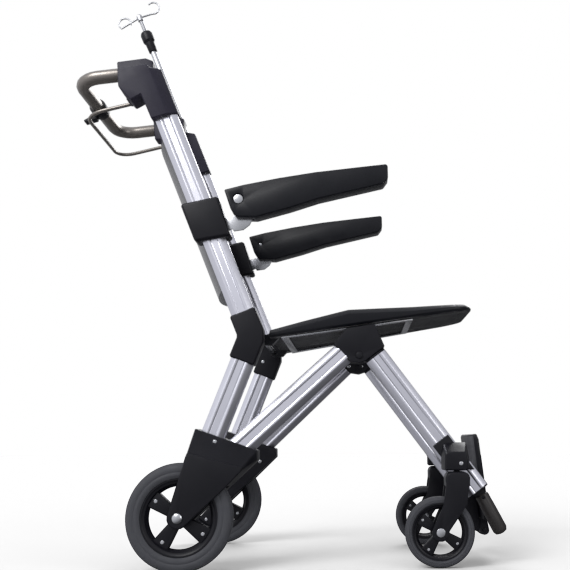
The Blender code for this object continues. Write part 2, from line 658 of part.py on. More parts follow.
def add_sling(finish):
    """Fabric panel between the uprights, bowed back in the middle."""
    edge = REAR_TRACK - HALF_TUBE - RUNNING_GAP
    steps = 16
    rings = []
    for up in (SLING_BOTTOM, SLING_TOP):
        ring = []
        for half, order in ((SLING_THICKNESS / 2, 1), (-SLING_THICKNESS / 2, -1)):
            places = [edge * (2 * i / steps - 1) for i in range(steps + 1)][::order]
            ring += [in_space(on_back(up, half - SLING_SAG * (1 - (y / edge) ** 2)), y)
                     for y in places]
        rings.append(ring)
    add_piece("backrest_sling", loft(rings), finish["fabric"])


def add_upright_drip_pole(finish):
    """Telescopic drip pole in the left upright: tube, twist collar, and rod with its hooks."""
    track = REAR_TRACK
    direction = in_space(BACK_UP, 0)
    low, top = UPRIGHT_LENGTH - 0.173, UPRIGHT_LENGTH + 0.267
    base = in_space(on_back(low, POLE_FRONT), track)
    length = top - low
    wall = ROD_RADIUS + RUNNING_GAP
    tube = [(POLE_RADIUS, 0), (POLE_RADIUS, length), (wall, length), (wall, 0)]
    add_piece("pole_tube", turned(tube, base, direction, SMALL_ROUND, closed=True),
              finish["steel"], base)
    collar_low = top - 0.004
    collar_base = in_space(on_back(collar_low, POLE_FRONT), track)
    inside, rod_room = POLE_RADIUS + CLEARANCE, ROD_RADIUS + CLEARANCE
    seat = top - collar_low + CLEARANCE
    collar = [(inside, 0), (0.0105, 0), (0.0115, 0.026), (0.0150, 0.031), (0.0155, 0.050),
              (0.0130, 0.056), (rod_room, 0.056), (rod_room, seat), (inside, seat)]
    add_piece("twist_collar", turned(collar, collar_base, direction, 20, closed=True),
              finish["black"], collar_base)
    add_drip_rod(direction, finish)


def add_drip_rod(direction, finish):
    """Rod that slides in the pole tube, with two open hooks on its top."""
    middle = on_back(UPRIGHT_LENGTH + 0.365, POLE_FRONT)
    base = in_space(on_back(UPRIGHT_LENGTH + 0.077, POLE_FRONT), REAR_TRACK)
    top = in_space(middle, REAR_TRACK)
    length = (top - base).length
    shape = [(0, 0), (ROD_RADIUS, 0), (ROD_RADIUS, length - 0.012), (0.0075, length - 0.010),
             (0.0075, length + 0.004), (0.004, length + 0.008), (0, length + 0.008)]
    rod_piece = add_piece("drip_rod", turned(shape, base, direction, SMALL_ROUND),
                          finish["steel"], base)
    wire, loop = 0.0022, 0.016
    for sign in (-1, 1):
        centre = middle + BACK_FRONT * sign * 0.041 + BACK_UP * (0.012 if sign > 0 else -0.003)
        lean = 90 - BACK_LEAN
        start, end = (lean - 75 - 90, lean + 165 - 90)
        if sign < 0:
            start, end = (lean + 75 + 90, lean - 165 + 90)
        outline = [in_space(middle, REAR_TRACK)]
        outline += [in_space(p, REAR_TRACK) for p in arc(centre, loop, start, end, 9)]
        combine(rod_piece, wire_mesh(outline, wire), "UNION")


def wire_mesh(path, radius, sides=6):
    """Round bar along a side-view path, as a mesh."""
    rings = []
    for i, point in enumerate(path):
        along = (path[min(i + 1, len(path) - 1)] - path[max(i - 1, 0)]).normalized()
        across = Vector((0, 1, 0))
        outward = along.cross(across)
        rings.append([point + (across * math.cos(a) + outward * math.sin(a)) * radius
                      for a in (math.tau * k / sides for k in range(sides))])
    return loft(rings)


# ---- armrests --------------------------------------------------------------------------
ARM_PIVOT = on_back(0.2664, HALF_DEPTH + 0.0522)
ARM_INNER = REAR_TRACK - 0.016
ARM_PIN_RADIUS = 0.004
BRACKET_TRACK = REAR_TRACK + 0.004
BRACKET_THICKNESS = 0.004
CARRIER_INNER = REAR_TRACK - 0.023
CARRIER_OUTER = REAR_TRACK + 0.024
TAB = (0.218, 0.244, HALF_DEPTH + 0.003)  # along the upright from, to, and in front of it


def bracket_tab(grow=0.0):
    low, high, front = TAB
    return [on_back(high + grow, front - grow), on_back(low - grow, front - grow),
            on_back(low - grow, front + 0.024), on_back(high + grow, front + 0.024)]


def add_arm_carrier(side_name, side, finish):
    """Block clamped round the upright, which carries an armrest's bracket."""
    rear, front = -HALF_DEPTH - 0.013, HALF_DEPTH + 0.017
    outline = [on_back(0.300, rear), on_back(0.2878, front), on_back(0.2022, front - 0.006),
               on_back(0.2168, rear)]
    bm = soften(prism(outline, *sided(side, CARRIER_INNER, CARRIER_OUTER)), 0.004)
    carrier = add_piece(f"arm_carrier_{side_name}", bm, finish["black"])
    fit = tube_section(HALF_DEPTH + CLEARANCE, HALF_TUBE + CLEARANCE)
    track = side * REAR_TRACK
    combine(carrier, solid_bar(in_space(on_back(0.1, 0), track),
                               in_space(on_back(0.4, 0), track), fit))
    half = BRACKET_THICKNESS / 2 + CLEARANCE
    combine(carrier, prism(bracket_tab(CLEARANCE),
                           *sided(side, BRACKET_TRACK - half, BRACKET_TRACK + half)))
    groove = [on_back(0.15, -0.008), on_back(0.15, 0.0035), on_back(0.35, 0.0035),
              on_back(0.35, -0.008)]
    combine(carrier, prism(groove, *sided(side, CARRIER_INNER - 0.01,
                                          REAR_TRACK - HALF_TUBE + CLEARANCE)))


def add_arm_bracket(side_name, side, finish):
    """Plate from the carrier to the armrest's pivot, with its pin."""
    x, z = ARM_PIVOT
    low, high, front = TAB
    tab = bracket_tab()
    outline = [tab[0], on_back(high, front + 0.016), (x - 0.0077, z - 0.0298)]
    outline += arc(ARM_PIVOT, 0.0135, 180, 0, 6)
    outline += [(x + 0.027, z - 0.028), (x + 0.0264, z - 0.0388), (x + 0.0215, z - 0.0492),
                (x + 0.0089, z - 0.0592), (x - 0.0100, z - 0.0620),
                on_back(low, front + 0.016), tab[1]]
    half = BRACKET_THICKNESS / 2
    bm = prism(outline, *sided(side, BRACKET_TRACK - half, BRACKET_TRACK + half))
    bracket = add_piece(f"arm_bracket_{side_name}", bm, finish["steel"])
    inner, outer = ARM_INNER + 0.002, ARM_INNER + ARMREST_THICKNESS - 0.005
    combine(bracket, pin(ARM_PIVOT, *sided(side, inner, outer), ARM_PIN_RADIUS), "UNION")
    combine(bracket, pin(ARM_PIVOT, *sided(side, outer - 0.0005, outer + 0.003), 0.0095),
            "UNION")


def add_armrest(side_name, side, finish):
    """Moulded arm, slotted for its bracket and bored for the pin."""
    x, z = ARM_PIVOT
    stretch = ARMREST_LENGTH / 0.300
    lines = [(-0.0284, 0.0189), (0.0100, 0.0290), (0.0802, 0.0432), (0.1533, 0.0554),
             (0.2353, 0.0652), (0.2960, 0.0722), (0.2995, 0.0690), (0.3000, 0.0442),
             (0.2906, 0.0311), (0.2241, 0.0154), (0.1599, 0.0), (0.1024, -0.0189),
             (0.0359, -0.0376), (-0.0039, -0.0366), (-0.0150, -0.0200)]
    outline = [(x + dx * (stretch if dx > 0.05 else 1), z + dz) for dx, dz in lines]
    bm = prism(outline, *sided(side, ARM_INNER, ARM_INNER + ARMREST_THICKNESS))
    arm = add_piece(f"armrest_{side_name}", soften(bm, 0.004, 2, 40), finish["black"],
                    in_space(ARM_PIVOT, side * BRACKET_TRACK))
    slot = [(-0.05, 0.0150), (0.0150, 0.0150), (0.0150, 0.0030), (0.0292, -0.0260),
            (0.0292, -0.0700), (-0.05, -0.0700)]
    half = BRACKET_THICKNESS / 2 + RUNNING_GAP
    combine(arm, prism([(x + dx, z + dz) for dx, dz in slot],
                       *sided(side, BRACKET_TRACK - half, BRACKET_TRACK + half)))
    combine(arm, pin(ARM_PIVOT, *sided(side, ARM_INNER - 0.01, ARM_INNER + 0.05),
                     ARM_PIN_RADIUS + RUNNING_GAP))
    recess = ARM_INNER + ARMREST_THICKNESS - 0.006
    combine(arm, pin(ARM_PIVOT, *sided(side, recess, recess + 0.02), 0.0110, 20))
    return arm


# ---- seat ------------------------------------------------------------------------------
HINGE_BAR = (0.138, 0.446)
HINGE_BAR_RADIUS = 0.005
EAR_RADIUS = 0.0105
EAR_TRACK = 0.112
STRAP_WIDTH = 0.014


def seat_half_width(x):
    """Plan outline: full behind, tapering to the front with rounded corners."""
    share = (x - SEAT_REAR) / (SEAT_FRONT - SEAT_REAR)
    taper = SEAT_HALF_WIDTH + (SEAT_FRONT_HALF_WIDTH - SEAT_HALF_WIDTH) * share ** 1.6
    to_end = (SEAT_FRONT - x) / 0.045
    if to_end < 1:
        taper -= 0.030 * (1 - math.sqrt(max(0.0, 1 - (1 - to_end) ** 2)))
    return taper


def seat_top(x):
    """Crowned behind the middle, then nearly level to the front edge."""
    rise = ((0.147, 0.4615), (0.224, 0.483), (0.314, 0.507), (0.447, 0.515), (0.5565, 0.524),
            (0.573, 0.519))
    for (x0, z0), (x1, z1) in zip(rise, rise[1:]):
        if x <= x1:
            return z0 + (z1 - z0) * (x - x0) / (x1 - x0)
    return rise[-1][1]


def add_seat_shell(finish):
    """Moulded seat pan with two ears round the hinge bar."""
    rings = []
    for x in (SEAT_REAR, 0.190, 0.224, 0.270, 0.314, 0.380, 0.447, 0.500, 0.535, 0.5565,
              0.568, SEAT_FRONT):
        half, low, high = seat_half_width(x), seat_underside(x), seat_top(x)
        low = min(low, high - 0.006)
        shoulder = min(0.012, (high - low) * 0.5)
        ring = [(-half + 0.006, low), (half - 0.006, low), (half, low + 0.004),
                (half, high - shoulder), (half - 0.010, high - 0.002), (half * 0.55, high),
                (0.0, high), (-half * 0.55, high), (-half + 0.010, high - 0.002),
                (-half, high - shoulder), (-half, low + 0.004)]
        rings.append([Vector((x, y, z)) for y, z in ring])
    pivot = in_space(HINGE_BAR, 0)
    seat = add_piece("seat_shell", loft(rings), finish["black"], pivot)
    for side in (-1, 1):
        x, z = HINGE_BAR
        ear = arc(HINGE_BAR, EAR_RADIUS, 100, 270, 6)
        ear += [(x + 0.020, z - EAR_RADIUS), (x + 0.034, z + 0.004), (x + 0.028, z + 0.010)]
        reach = sided(side, EAR_TRACK - 0.010, EAR_TRACK + 0.010)
        combine(seat, prism(ear, *reach), "UNION")
        combine(seat, pin(HINGE_BAR, *sided(side, EAR_TRACK - 0.02, EAR_TRACK + 0.02),
                          HINGE_BAR_RADIUS + RUNNING_GAP))
    return seat


def add_seat_strap(finish):
    """Flat metal loop that stiffens the seat's underside."""
    corners = [(0.185, 0.136), (0.441, 0.098)]
    bm = bmesh.new()
    rings = []
    for grow in (STRAP_WIDTH / 2, -STRAP_WIDTH / 2):
        (x0, y0), (x1, y1) = corners
        plan = [(x0 - grow, -y0 - grow), (x1 + grow, -y1 - grow), (x1 + grow, y1 + grow),
                (x0 - grow, y0 + grow)]
        rings.append([bm.verts.new((x, y, seat_underside(x) - CLEARANCE)) for x, y in plan])
    for i in range(4):
        j = (i + 1) % 4
        bm.faces.new((rings[0][i], rings[0][j], rings[1][j], rings[1][i]))
    made = bmesh.ops.extrude_face_region(bm, geom=bm.faces[:], use_keep_orig=True)
    moved = [item for item in made["geom"] if isinstance(item, bmesh.types.BMVert)]
    bmesh.ops.translate(bm, verts=moved, vec=(0, 0, -STRAP_THICKNESS))
    add_piece("seat_strap", bm, finish["aluminium"], in_space(HINGE_BAR, 0))


def add_seat_hinge_bar(finish):
    end = REAR_TRACK - HALF_TUBE - SLEEVE_WALL - CLEARANCE
    add_piece("seat_hinge_bar", pin(HINGE_BAR, -end, end, HINGE_BAR_RADIUS), finish["steel"])


# ---- front frame: cross tube, casters, footplate, lift grips ----------------------------
CROSS_TUBE = (0.553, 0.152)
CROSS_TUBE_RADIUS = 0.011
STEM_TOP = 0.212
CROWN_TOP = 0.1795
BRACKET_BOTTOM = 0.1825
FORK_HALF = 0.0205
FORK_PLATE = 0.005
FOOT_PIVOT = (0.592, 0.0575)
FOOT_PIN_RADIUS = 0.004
FOOT_EYE = 0.0110
FOOT_BRACKET_HALF = 0.046
KNUCKLE_END = 0.068
PLATE_LEAN = 6.2            # degrees back of vertical, folded up
PLATE_LENGTH = 0.196
PLATE_DEPTH = 0.011
LIFT_PIVOT = (0.5800, 0.1280)
LIFT_TONGUE = 0.008
LIFT_ANGLE = 62.0           # degrees below horizontal, stowed
GRIP_LENGTH = 0.084


def add_cross_tube(finish, pivot):
    end = FRONT_TRACK - HALF_TUBE - CLEARANCE
    add_piece("front_cross_tube", pin(CROSS_TUBE, -end, end, CROSS_TUBE_RADIUS, 20),
              finish["aluminium"], pivot)


def add_caster_bracket(side_name, side, finish, pivot):
    """Plate on the leg's outer side with the block that holds the swivel stem."""
    leg_face = FRONT_TRACK + HALF_TUBE + CLEARANCE
    plate = [on_front_leg(0.262, 0.019), on_front_leg(0.262, -0.019), (0.5157, BRACKET_BOTTOM),
             (0.5632, BRACKET_BOTTOM)]
    bm = prism(plate, *sided(side, leg_face, leg_face + 0.0065))
    bracket = add_piece(f"caster_bracket_{side_name}", soften(bm, 0.001), finish["black"], pivot)
    x = SWIVEL_X
    low = [(x - 0.027, BRACKET_BOTTOM), (x + 0.026, BRACKET_BOTTOM), (x + 0.030, 0.200),
           (x + 0.024, 0.2366), (x - 0.022, 0.2366), (x - 0.027, 0.216)]
    high = [(x - 0.024, BRACKET_BOTTOM), (x + 0.020, BRACKET_BOTTOM), (x + 0.020, 0.200),
            (x + 0.016, 0.2175), (x - 0.020, 0.2175), (x - 0.024, 0.2130)]
    rings = [[in_space(p, side * y) for p in outline]
             for outline, y in ((low, leg_face + 0.003), (high, CASTER_TRACK + 0.017))]
    combine(bracket, soften(loft(rings), 0.002), "UNION")
    stem = STEM_RADIUS + RUNNING_GAP
    base = Vector((x, side * CASTER_TRACK, BRACKET_BOTTOM - 0.01))
    combine(bracket, rod(base, Vector((base.x, base.y, STEM_TOP + RUNNING_GAP)), stem))


def add_caster_fork(side_name, side, finish):
    """Swivelling fork with its stem, trailing the caster's axle behind."""
    y = side * CASTER_TRACK
    x, (axle_x, axle_z) = SWIVEL_X, CASTER_AXLE
    origin = Vector((x, y, 0))
    crown = [(x - 0.023, 0.150), (x + 0.023, 0.150), (x + 0.0235, 0.172), (x + 0.017, CROWN_TOP),
             (x - 0.017, CROWN_TOP), (x - 0.0235, 0.172)]
    bm = soften(prism(crown, y - FORK_HALF, y + FORK_HALF), 0.003)
    fork = add_piece(f"caster_fork_{side_name}", bm, finish["black"], origin)
    leg = [(x - 0.0225, 0.160), (x + 0.0225, 0.160), (x + 0.016, 0.118)]
    leg += arc(CASTER_AXLE, 0.0165, 10, -190, 7) + [(x - 0.028, 0.120)]
    for sign in (-1, 1):
        reach = (y + sign * (FORK_HALF - FORK_PLATE), y + sign * FORK_HALF)
        combine(fork, prism(leg, *reach), "UNION")
    stem_low = Vector((x, y, 0.165))
    combine(fork, rod(stem_low, Vector((x, y, STEM_TOP)), STEM_RADIUS), "UNION")
    room = CASTER_WIDTH / 2 + 0.0012
    combine(fork, pin(CASTER_AXLE, y - room, y + room, CASTER_RADIUS + 0.004, ROUND))
    combine(fork, pin(CASTER_AXLE, y - 0.03, y + 0.03, CASTER_AXLE_RADIUS + CLEARANCE))
    return fork


def add_caster_axle(side_name, side, finish):
    y = side * CASTER_TRACK
    end = FORK_HALF + CLEARANCE
    head = 0.0085
    profile = [(0, -end - 0.0025), (head, -end - 0.0025), (head, -end),
               (CASTER_AXLE_RADIUS, -end), (CASTER_AXLE_RADIUS, end), (head, end),
               (head, end + 0.0025), (0, end + 0.0025)]
    add_piece(f"caster_axle_{side_name}",
              turned(profile, in_space(CASTER_AXLE, y), (0, 1, 0), SMALL_ROUND),
              finish["steel"], Vector((SWIVEL_X, y, 0)))


def plate_point(up, front):
    """Side-view point along the folded footplate and in front of its middle."""
    lean = math.radians(PLATE_LEAN)
    along = Vector((-math.sin(lean), math.cos(lean)))
    return Vector(FOOT_PIVOT) + along * up + Vector((along.y, -along.x)) * (front + 0.003)


def add_foot_bracket(finish, pivot):
    """Block hung on the cross tube, with the footplate's hinge pin at its foot."""
    rear = -PLATE_DEPTH / 2 - 0.001
    eye = arc(FOOT_PIVOT, FOOT_EYE, 40, -150, 7)
    outline = [(0.537, 0.165), (0.556, 0.1695), plate_point(0.108, rear),
               plate_point(0.030, rear), (0.5865, 0.0775)] + eye + [(0.560, 0.060),
                                                                    (0.543, 0.120),
                                                                    (0.535, 0.145)]
    bm = soften(prism(outline, -FOOT_BRACKET_HALF, FOOT_BRACKET_HALF), 0.001)
    bracket = add_piece("foot_bracket", bm, finish["black"], pivot)
    combine(bracket, pin(CROSS_TUBE, -0.06, 0.06, CROSS_TUBE_RADIUS + CLEARANCE, 20))
    end = KNUCKLE_END + 0.0025
    combine(bracket, pin(FOOT_PIVOT, -end, end, FOOT_PIN_RADIUS), "UNION")


def add_footplate(finish):
    """Plate that folds down in front of the chair on two knuckles."""
    half = PLATE_DEPTH / 2
    outline = [plate_point(0.022, -half), plate_point(0.022, half),
               plate_point(PLATE_LENGTH - 0.012, half * 0.9),
               plate_point(PLATE_LENGTH, half * 0.3), plate_point(PLATE_LENGTH, -half * 0.6),
               plate_point(PLATE_LENGTH - 0.006, -half)]
    wide = FOOTPLATE_HALF_WIDTH
    bm = soften(prism(outline, -wide, wide), 0.002)
    plate = add_piece("footplate", bm, finish["black"], in_space(FOOT_PIVOT, 0))
    for side in (-1, 1):
        knuckle = arc(FOOT_PIVOT, 0.0095, 190, 350, 6)
        knuckle += [plate_point(0.026, half * 0.8), plate_point(0.026, -half * 0.8)]
        reach = sided(side, FOOT_BRACKET_HALF + 2 * CLEARANCE, KNUCKLE_END)
        combine(plate, prism(knuckle, *reach), "UNION")
        combine(plate, pin(FOOT_PIVOT, *sided(side, 0.04, 0.08), FOOT_PIN_RADIUS + RUNNING_GAP))


def add_lift_hinge(side_name, side, finish, pivot):
    """Plug in the front leg's foot, with the tongue that the lift grip turns on."""
    track = side * FRONT_TRACK
    plug_top, tube_end = FRONT_LEG_LENGTH - 0.030, FRONT_LEG_LENGTH + CLEARANCE
    bm = solid_bar(in_space(on_front_leg(plug_top), track),
                   in_space(on_front_leg(tube_end + 0.001), track), plug_section())
    hinge = add_piece(f"lift_hinge_{side_name}", bm, finish["black"], pivot)
    flange = tube_section(HALF_DEPTH - 0.0005, HALF_TUBE - 0.0005)
    combine(hinge, solid_bar(in_space(on_front_leg(tube_end), track),
                             in_space(on_front_leg(tube_end + 0.0025), track), flange), "UNION")
    half = LIFT_TONGUE / 2
    tongue = [on_front_leg(tube_end + 0.001, 0.012), on_front_leg(tube_end + 0.001, -0.016)]
    tongue += arc(LIFT_PIVOT, 0.0078, 190, 400, 7)
    combine(hinge, prism(tongue, *sided(side, FRONT_TRACK - half, FRONT_TRACK + half)), "UNION")
    combine(hinge, pin(LIFT_PIVOT, *sided(side, FRONT_TRACK - 0.0125, FRONT_TRACK + 0.0125),
                       0.0035, 12), "UNION")


def add_lift_grip(side_name, side, finish):
    """Rubber-covered grip that swings up in front for the carrier at the foot end."""
    track = side * FRONT_TRACK
    lean = math.radians(LIFT_ANGLE)
    along = Vector((math.cos(lean), 0, -math.sin(lean)))
    pivot = in_space(LIFT_PIVOT, track)
    base = pivot - along * 0.0055
    full, tip = GRIP_RADIUS, GRIP_LENGTH
    profile = [(0, 0), (full * 0.82, 0), (full, 0.0025), (full, tip - 0.008),
               (full * 0.80, tip - 0.002), (full * 0.4, tip), (0, tip)]
    grip = add_piece(f"lift_grip_{side_name}", turned(profile, base, along, 20), finish["grip"],
                     pivot)
    half = LIFT_TONGUE / 2 + RUNNING_GAP
    across = Vector((-along.z, 0, along.x))
    depth, wide = 0.0150, 0.016
    corners = ((-0.02, -wide), (depth, -wide), (depth, wide), (-0.02, wide))
    slot = [pivot + along * a + across * b for a, b in corners]
    rings = [[Vector((p.x, y, p.z)) for p in slot] for y in (track - half, track + half)]
    combine(grip, loft(rings))
    combine(grip, pin(LIFT_PIVOT, track - 0.02, track + 0.02, 0.0035 + RUNNING_GAP, 12))


# ---- the whole chair -------------------------------------------------------------------
def build_side(side_name, side, finish, fold):
    add_wheels(side_name, side, finish)
    add_rear_housing(side_name, side, finish)
    add_rear_axle(side_name, side, finish)
    add_frame_tubes(side_name, side, finish)
    add_knee_sleeve(side_name, side, finish)
    add_hub(side_name, side, finish)
    add_fold_pin(side_name, side, finish)
    add_leg_knuckle(side_name, side, finish, fold)
    add_front_leg(side_name, side, finish, fold)
    add_top_housing(side_name, side, finish)
    add_arm_carrier(side_name, side, finish)
    add_arm_bracket(side_name, side, finish)
    add_armrest(side_name, side, finish)
    add_caster_bracket(side_name, side, finish, fold)
    add_caster_fork(side_name, side, finish)
    add_caster_axle(side_name, side, finish)
    add_lift_hinge(side_name, side, finish, fold)
    add_lift_grip(side_name, side, finish)


def build_middle(finish, fold):
    add_hub_crossbeam(finish)
    add_push_bar(finish)
    add_release_bail(finish)
    add_lever_clamp(finish)
    add_sling(finish)
    add_upright_drip_pole(finish)
    add_seat_shell(finish)
    add_seat_strap(finish)
    add_seat_hinge_bar(finish)
    add_cross_tube(finish, fold)
    add_foot_bracket(finish, fold)
    add_footplate(finish)


def centre_on_footprint(root):
    """Move the chair so that the middle of its footprint, on the floor, is the origin."""
    bpy.context.view_layer.update()
    graph = bpy.context.evaluated_depsgraph_get()
    low, high = Vector((9, 9, 9)), Vector((-9, -9, -9))
    for obj in bpy.data.objects:
        if obj.type == "EMPTY" or obj.hide_render:
            continue
        shown = obj.evaluated_get(graph)
        for vertex in shown.to_mesh().vertices:
            place = shown.matrix_world @ vertex.co
            low = Vector(map(min, low, place))
            high = Vector(map(max, high, place))
        shown.to_mesh_clear()
    root.location = -Vector(((low.x + high.x) / 2, (low.y + high.y) / 2, low.z))


def main():
    clear_scene()
    root = bpy.data.objects.new("stair_chair", None)
    bpy.context.collection.objects.link(root)
    finish = make_finishes()
    fold = in_space(fold_centre(), 0)
    for side_name, side in SIDES:
        build_side(side_name, side, finish, fold)
    build_middle(finish, fold)
    centre_on_footprint(root)


main()
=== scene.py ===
"""Stair chair: the visible pieces and finishes, made on the frame of its CAD model."""

import json
import math

import bmesh
import bpy
from bpy.props import FloatProperty, FloatVectorProperty, IntProperty, PointerProperty
from mathutils import Matrix, Vector
from mathutils.bvhtree import BVHTree


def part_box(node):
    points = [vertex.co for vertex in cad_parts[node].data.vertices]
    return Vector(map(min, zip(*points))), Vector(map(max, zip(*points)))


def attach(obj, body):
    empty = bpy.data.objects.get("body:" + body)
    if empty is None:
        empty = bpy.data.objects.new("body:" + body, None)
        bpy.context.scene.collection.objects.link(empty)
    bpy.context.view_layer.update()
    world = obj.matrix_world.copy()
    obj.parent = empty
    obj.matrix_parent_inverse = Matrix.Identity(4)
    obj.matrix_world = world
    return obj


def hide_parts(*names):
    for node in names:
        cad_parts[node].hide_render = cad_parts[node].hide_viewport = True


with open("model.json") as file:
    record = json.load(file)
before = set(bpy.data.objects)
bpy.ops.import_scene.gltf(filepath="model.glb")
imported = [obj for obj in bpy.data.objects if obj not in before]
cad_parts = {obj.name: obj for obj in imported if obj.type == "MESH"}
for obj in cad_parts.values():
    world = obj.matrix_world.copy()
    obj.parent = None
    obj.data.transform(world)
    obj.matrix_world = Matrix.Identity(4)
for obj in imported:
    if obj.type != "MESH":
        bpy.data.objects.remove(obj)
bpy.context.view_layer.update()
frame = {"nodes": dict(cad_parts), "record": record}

bl_info = {
    "name": "Stair Chair",
    "version": (1, 0, 0),
    "blender": (4, 5, 0),
    "location": "View3D > Sidebar > Stair Chair",
    "description": "Builds the visible pieces and finishes of a folding stair chair",
    "category": "Add Mesh",
}

SIDES = (("right", -1), ("left", 1))
MM = 0.001

# Each extrusion's lean from upright in the side view, in degrees.
TUBES = {"rear_leg": 20.7, "upright": -22.0, "diagonal": 46.8, "front_leg": -36.8}

# Name, place and size in metres, and power in watts, of each soft light.
LIGHTS = (("key", (-1.8, -2.4, 2.9), 1.8, 100),
          ("fill", (2.6, -2.2, 1.2), 1.6, 22),
          ("back", (0.4, 2.6, 2.4), 2.0, 55))
LIGHT_AIM = Vector((0, 0, 0.6))

# Low camera at the chair's right side, level with the wheels and tipped up.
CAMERA_PLACE = (0.1610, -1.7309, 0.2386)
CAMERA_TURN = (90 + 8.38, 0.29, -0.70)
CAMERA_LENS = 49.91
CAMERA_SHIFT = (-0.142, 0.07)

# Fastener places: node, forward of the rear axle, above the floor, and which way it faces
# (1 away from the middle of the chair, -1 towards it).
FRAME_SCREWS = (("rear_housing", 0.061, 0.239, 1), ("rear_housing", 0.103, 0.193, -1),
                ("knee_sleeve", 0.106, 0.4287, -1), ("hub_bracket", 0.313, 0.412, -1),
                ("hub_bracket", 0.342, 0.412, -1), ("arm_carrier", 0.037, 0.6619, -1),
                ("arm_carrier", 0.022, 0.699, -1))
BRACKET_SCREW = ("caster_bracket", 0.531, 0.1955, 1)


def linear(hex_text):
    """Scene-linear colour of an sRGB hex value."""
    values = [int(hex_text[i:i + 2], 16) / 255 for i in (1, 3, 5)]
    return [v / 12.92 if v <= 0.04045 else ((v + 0.055) / 1.055) ** 2.4 for v in values]


def colour_property(name, description, hex_text):
    return FloatVectorProperty(name=name, description=description, subtype="COLOR",
                               default=linear(hex_text), min=0.0, max=1.0, size=3)


def length_property(name, description, default):
    return FloatProperty(name=name, description=description, default=default, min=0.0,
                         unit="LENGTH", subtype="DISTANCE", precision=4)


class ChairFinishes(bpy.types.PropertyGroup):
    """Colours of the chair's finishes."""
    aluminium: colour_property("Aluminium", "Satin anodised frame tubes", "#D0D0D8")
    steel: colour_property("Steel", "Axles, brackets, screws and the drip pole", "#B9BABD")
    bar: colour_property("Push bar", "Warm grey coat of the push bar and the bail", "#7D7873")
    nylon: colour_property("Nylon", "Wheel centres, hubs, forks and brackets", "#0A0A10")
    housing: colour_property("Top housing", "Housings that hold the push bar", "#1C1A26")
    seat: colour_property("Seat", "Seat and armrest mouldings", "#08090F")
    tyre: colour_property("Tyre", "Solid tyres", "#2C2D32")
    grip: colour_property("Lift grip", "Rubber of the lift grips", "#1D1917")
    sling: colour_property("Sling", "Woven backrest", "#1A1A20")


class ChairSizes(bpy.types.PropertyGroup):
    """Sizes of the fine detail that the frame doesn't hold."""
    groove_width: length_property("Groove width", "Grooves along the tubes", 1.0 * MM)
    groove_depth: length_property("Groove depth", "Depth of those grooves", 0.6 * MM)
    screw: length_property("Screw head", "Radius of a button-head screw", 4.0 * MM)
    tread: length_property("Tread groove", "Depth of the grooves round a tyre", 1.0 * MM)
    rib_pitch: length_property("Rib pitch", "Spacing of the footplate's ribs", 6.0 * MM)
    seat_rib_pitch: length_property("Seat rib pitch", "Spacing of the seat's ribs", 13.0 * MM)
    spokes: IntProperty(name="Spokes", description="Spokes of each wheel", default=4, min=3, max=8)


def finishes():
    return bpy.context.scene.stair_chair_finishes


def sizes():
    return bpy.context.scene.stair_chair_sizes


# ---- materials -------------------------------------------------------------------------
def add_node(tree, kind, inputs=None, **settings):
    """Adds a node, sets its settings, and fills or links its inputs."""
    node = tree.nodes.new(kind)
    for name, value in settings.items():
        setattr(node, name, value)
    for key, value in (inputs or {}).items():
        if isinstance(value, bpy.types.NodeSocket):
            tree.links.new(value, node.inputs[key])
        else:
            node.inputs[key].default_value = value
    return node


def start_material(name, roughness, metallic=0.0):
    """New material with its surface shader and its Object coordinates."""
    material = bpy.data.materials.get(name)
    if material:
        bpy.data.materials.remove(material)
    material = bpy.data.materials.new(name)
    material.use_nodes = True
    tree = material.node_tree
    shader = tree.nodes["Principled BSDF"]
    shader.inputs["Roughness"].default_value = roughness
    shader.inputs["Metallic"].default_value = metallic
    place = add_node(tree, "ShaderNodeTexCoord").outputs["Object"]
    return material, tree, shader, place


def vary(tree, shader, place, colour, amount, size_mm, roughness, rough_amount):
    """Slow variation of colour and roughness, as handling and moulding leave."""
    noise = add_node(tree, "ShaderNodeTexNoise", {"Vector": place, "Scale": 1000 / size_mm,
                                                  "Detail": 4.0, "Roughness": 0.6})
    dark = [c * (1 - amount) for c in colour] + [1]
    light = [min(1, c * (1 + amount)) for c in colour] + [1]
    mix = add_node(tree, "ShaderNodeMix", {"Factor": noise.outputs["Fac"], "A": dark, "B": light},
                   data_type="RGBA")
    tree.links.new(mix.outputs["Result"], shader.inputs["Base Color"])
    rough = add_node(tree, "ShaderNodeMapRange",
                     {"Value": noise.outputs["Fac"], "From Min": 0.3, "From Max": 0.7,
                      "To Min": roughness - rough_amount, "To Max": roughness + rough_amount})
    tree.links.new(rough.outputs["Result"], shader.inputs["Roughness"])


def bump(tree, shader, height, strength, distance_mm):
    raised = add_node(tree, "ShaderNodeBump", {"Height": height, "Strength": strength,
                                               "Distance": distance_mm * MM})
    tree.links.new(raised.outputs["Normal"], shader.inputs["Normal"])


def anodised_aluminium(angle):
    """Extruded aluminium, etched and anodised: soft reflections, drawn out by fine die lines.
    angle is the extrusion's lean from upright in the side view."""
    colour = list(finishes().aluminium)
    material, tree, shader, place = start_material(f"anodised_aluminium_{round(angle)}", 0.34, 1)
    turned = add_node(tree, "ShaderNodeMapping",
                      {"Vector": place, "Rotation": (0, math.radians(angle), 0)})
    # Die lines are about 0.1 mm apart: drawn at 0.6 mm, and a hundred times as long.
    drawn = add_node(tree, "ShaderNodeMapping",
                     {"Vector": turned.outputs["Vector"], "Scale": (1, 1, 0.01)})
    lines = add_node(tree, "ShaderNodeTexNoise", {"Vector": drawn.outputs["Vector"],
                                                  "Scale": 1000 / 0.6, "Detail": 2.0})
    vary(tree, shader, place, colour, 0.03, 90, 0.32, 0.03)
    bump(tree, shader, lines.outputs["Fac"], 0.02, 0.01)
    return material


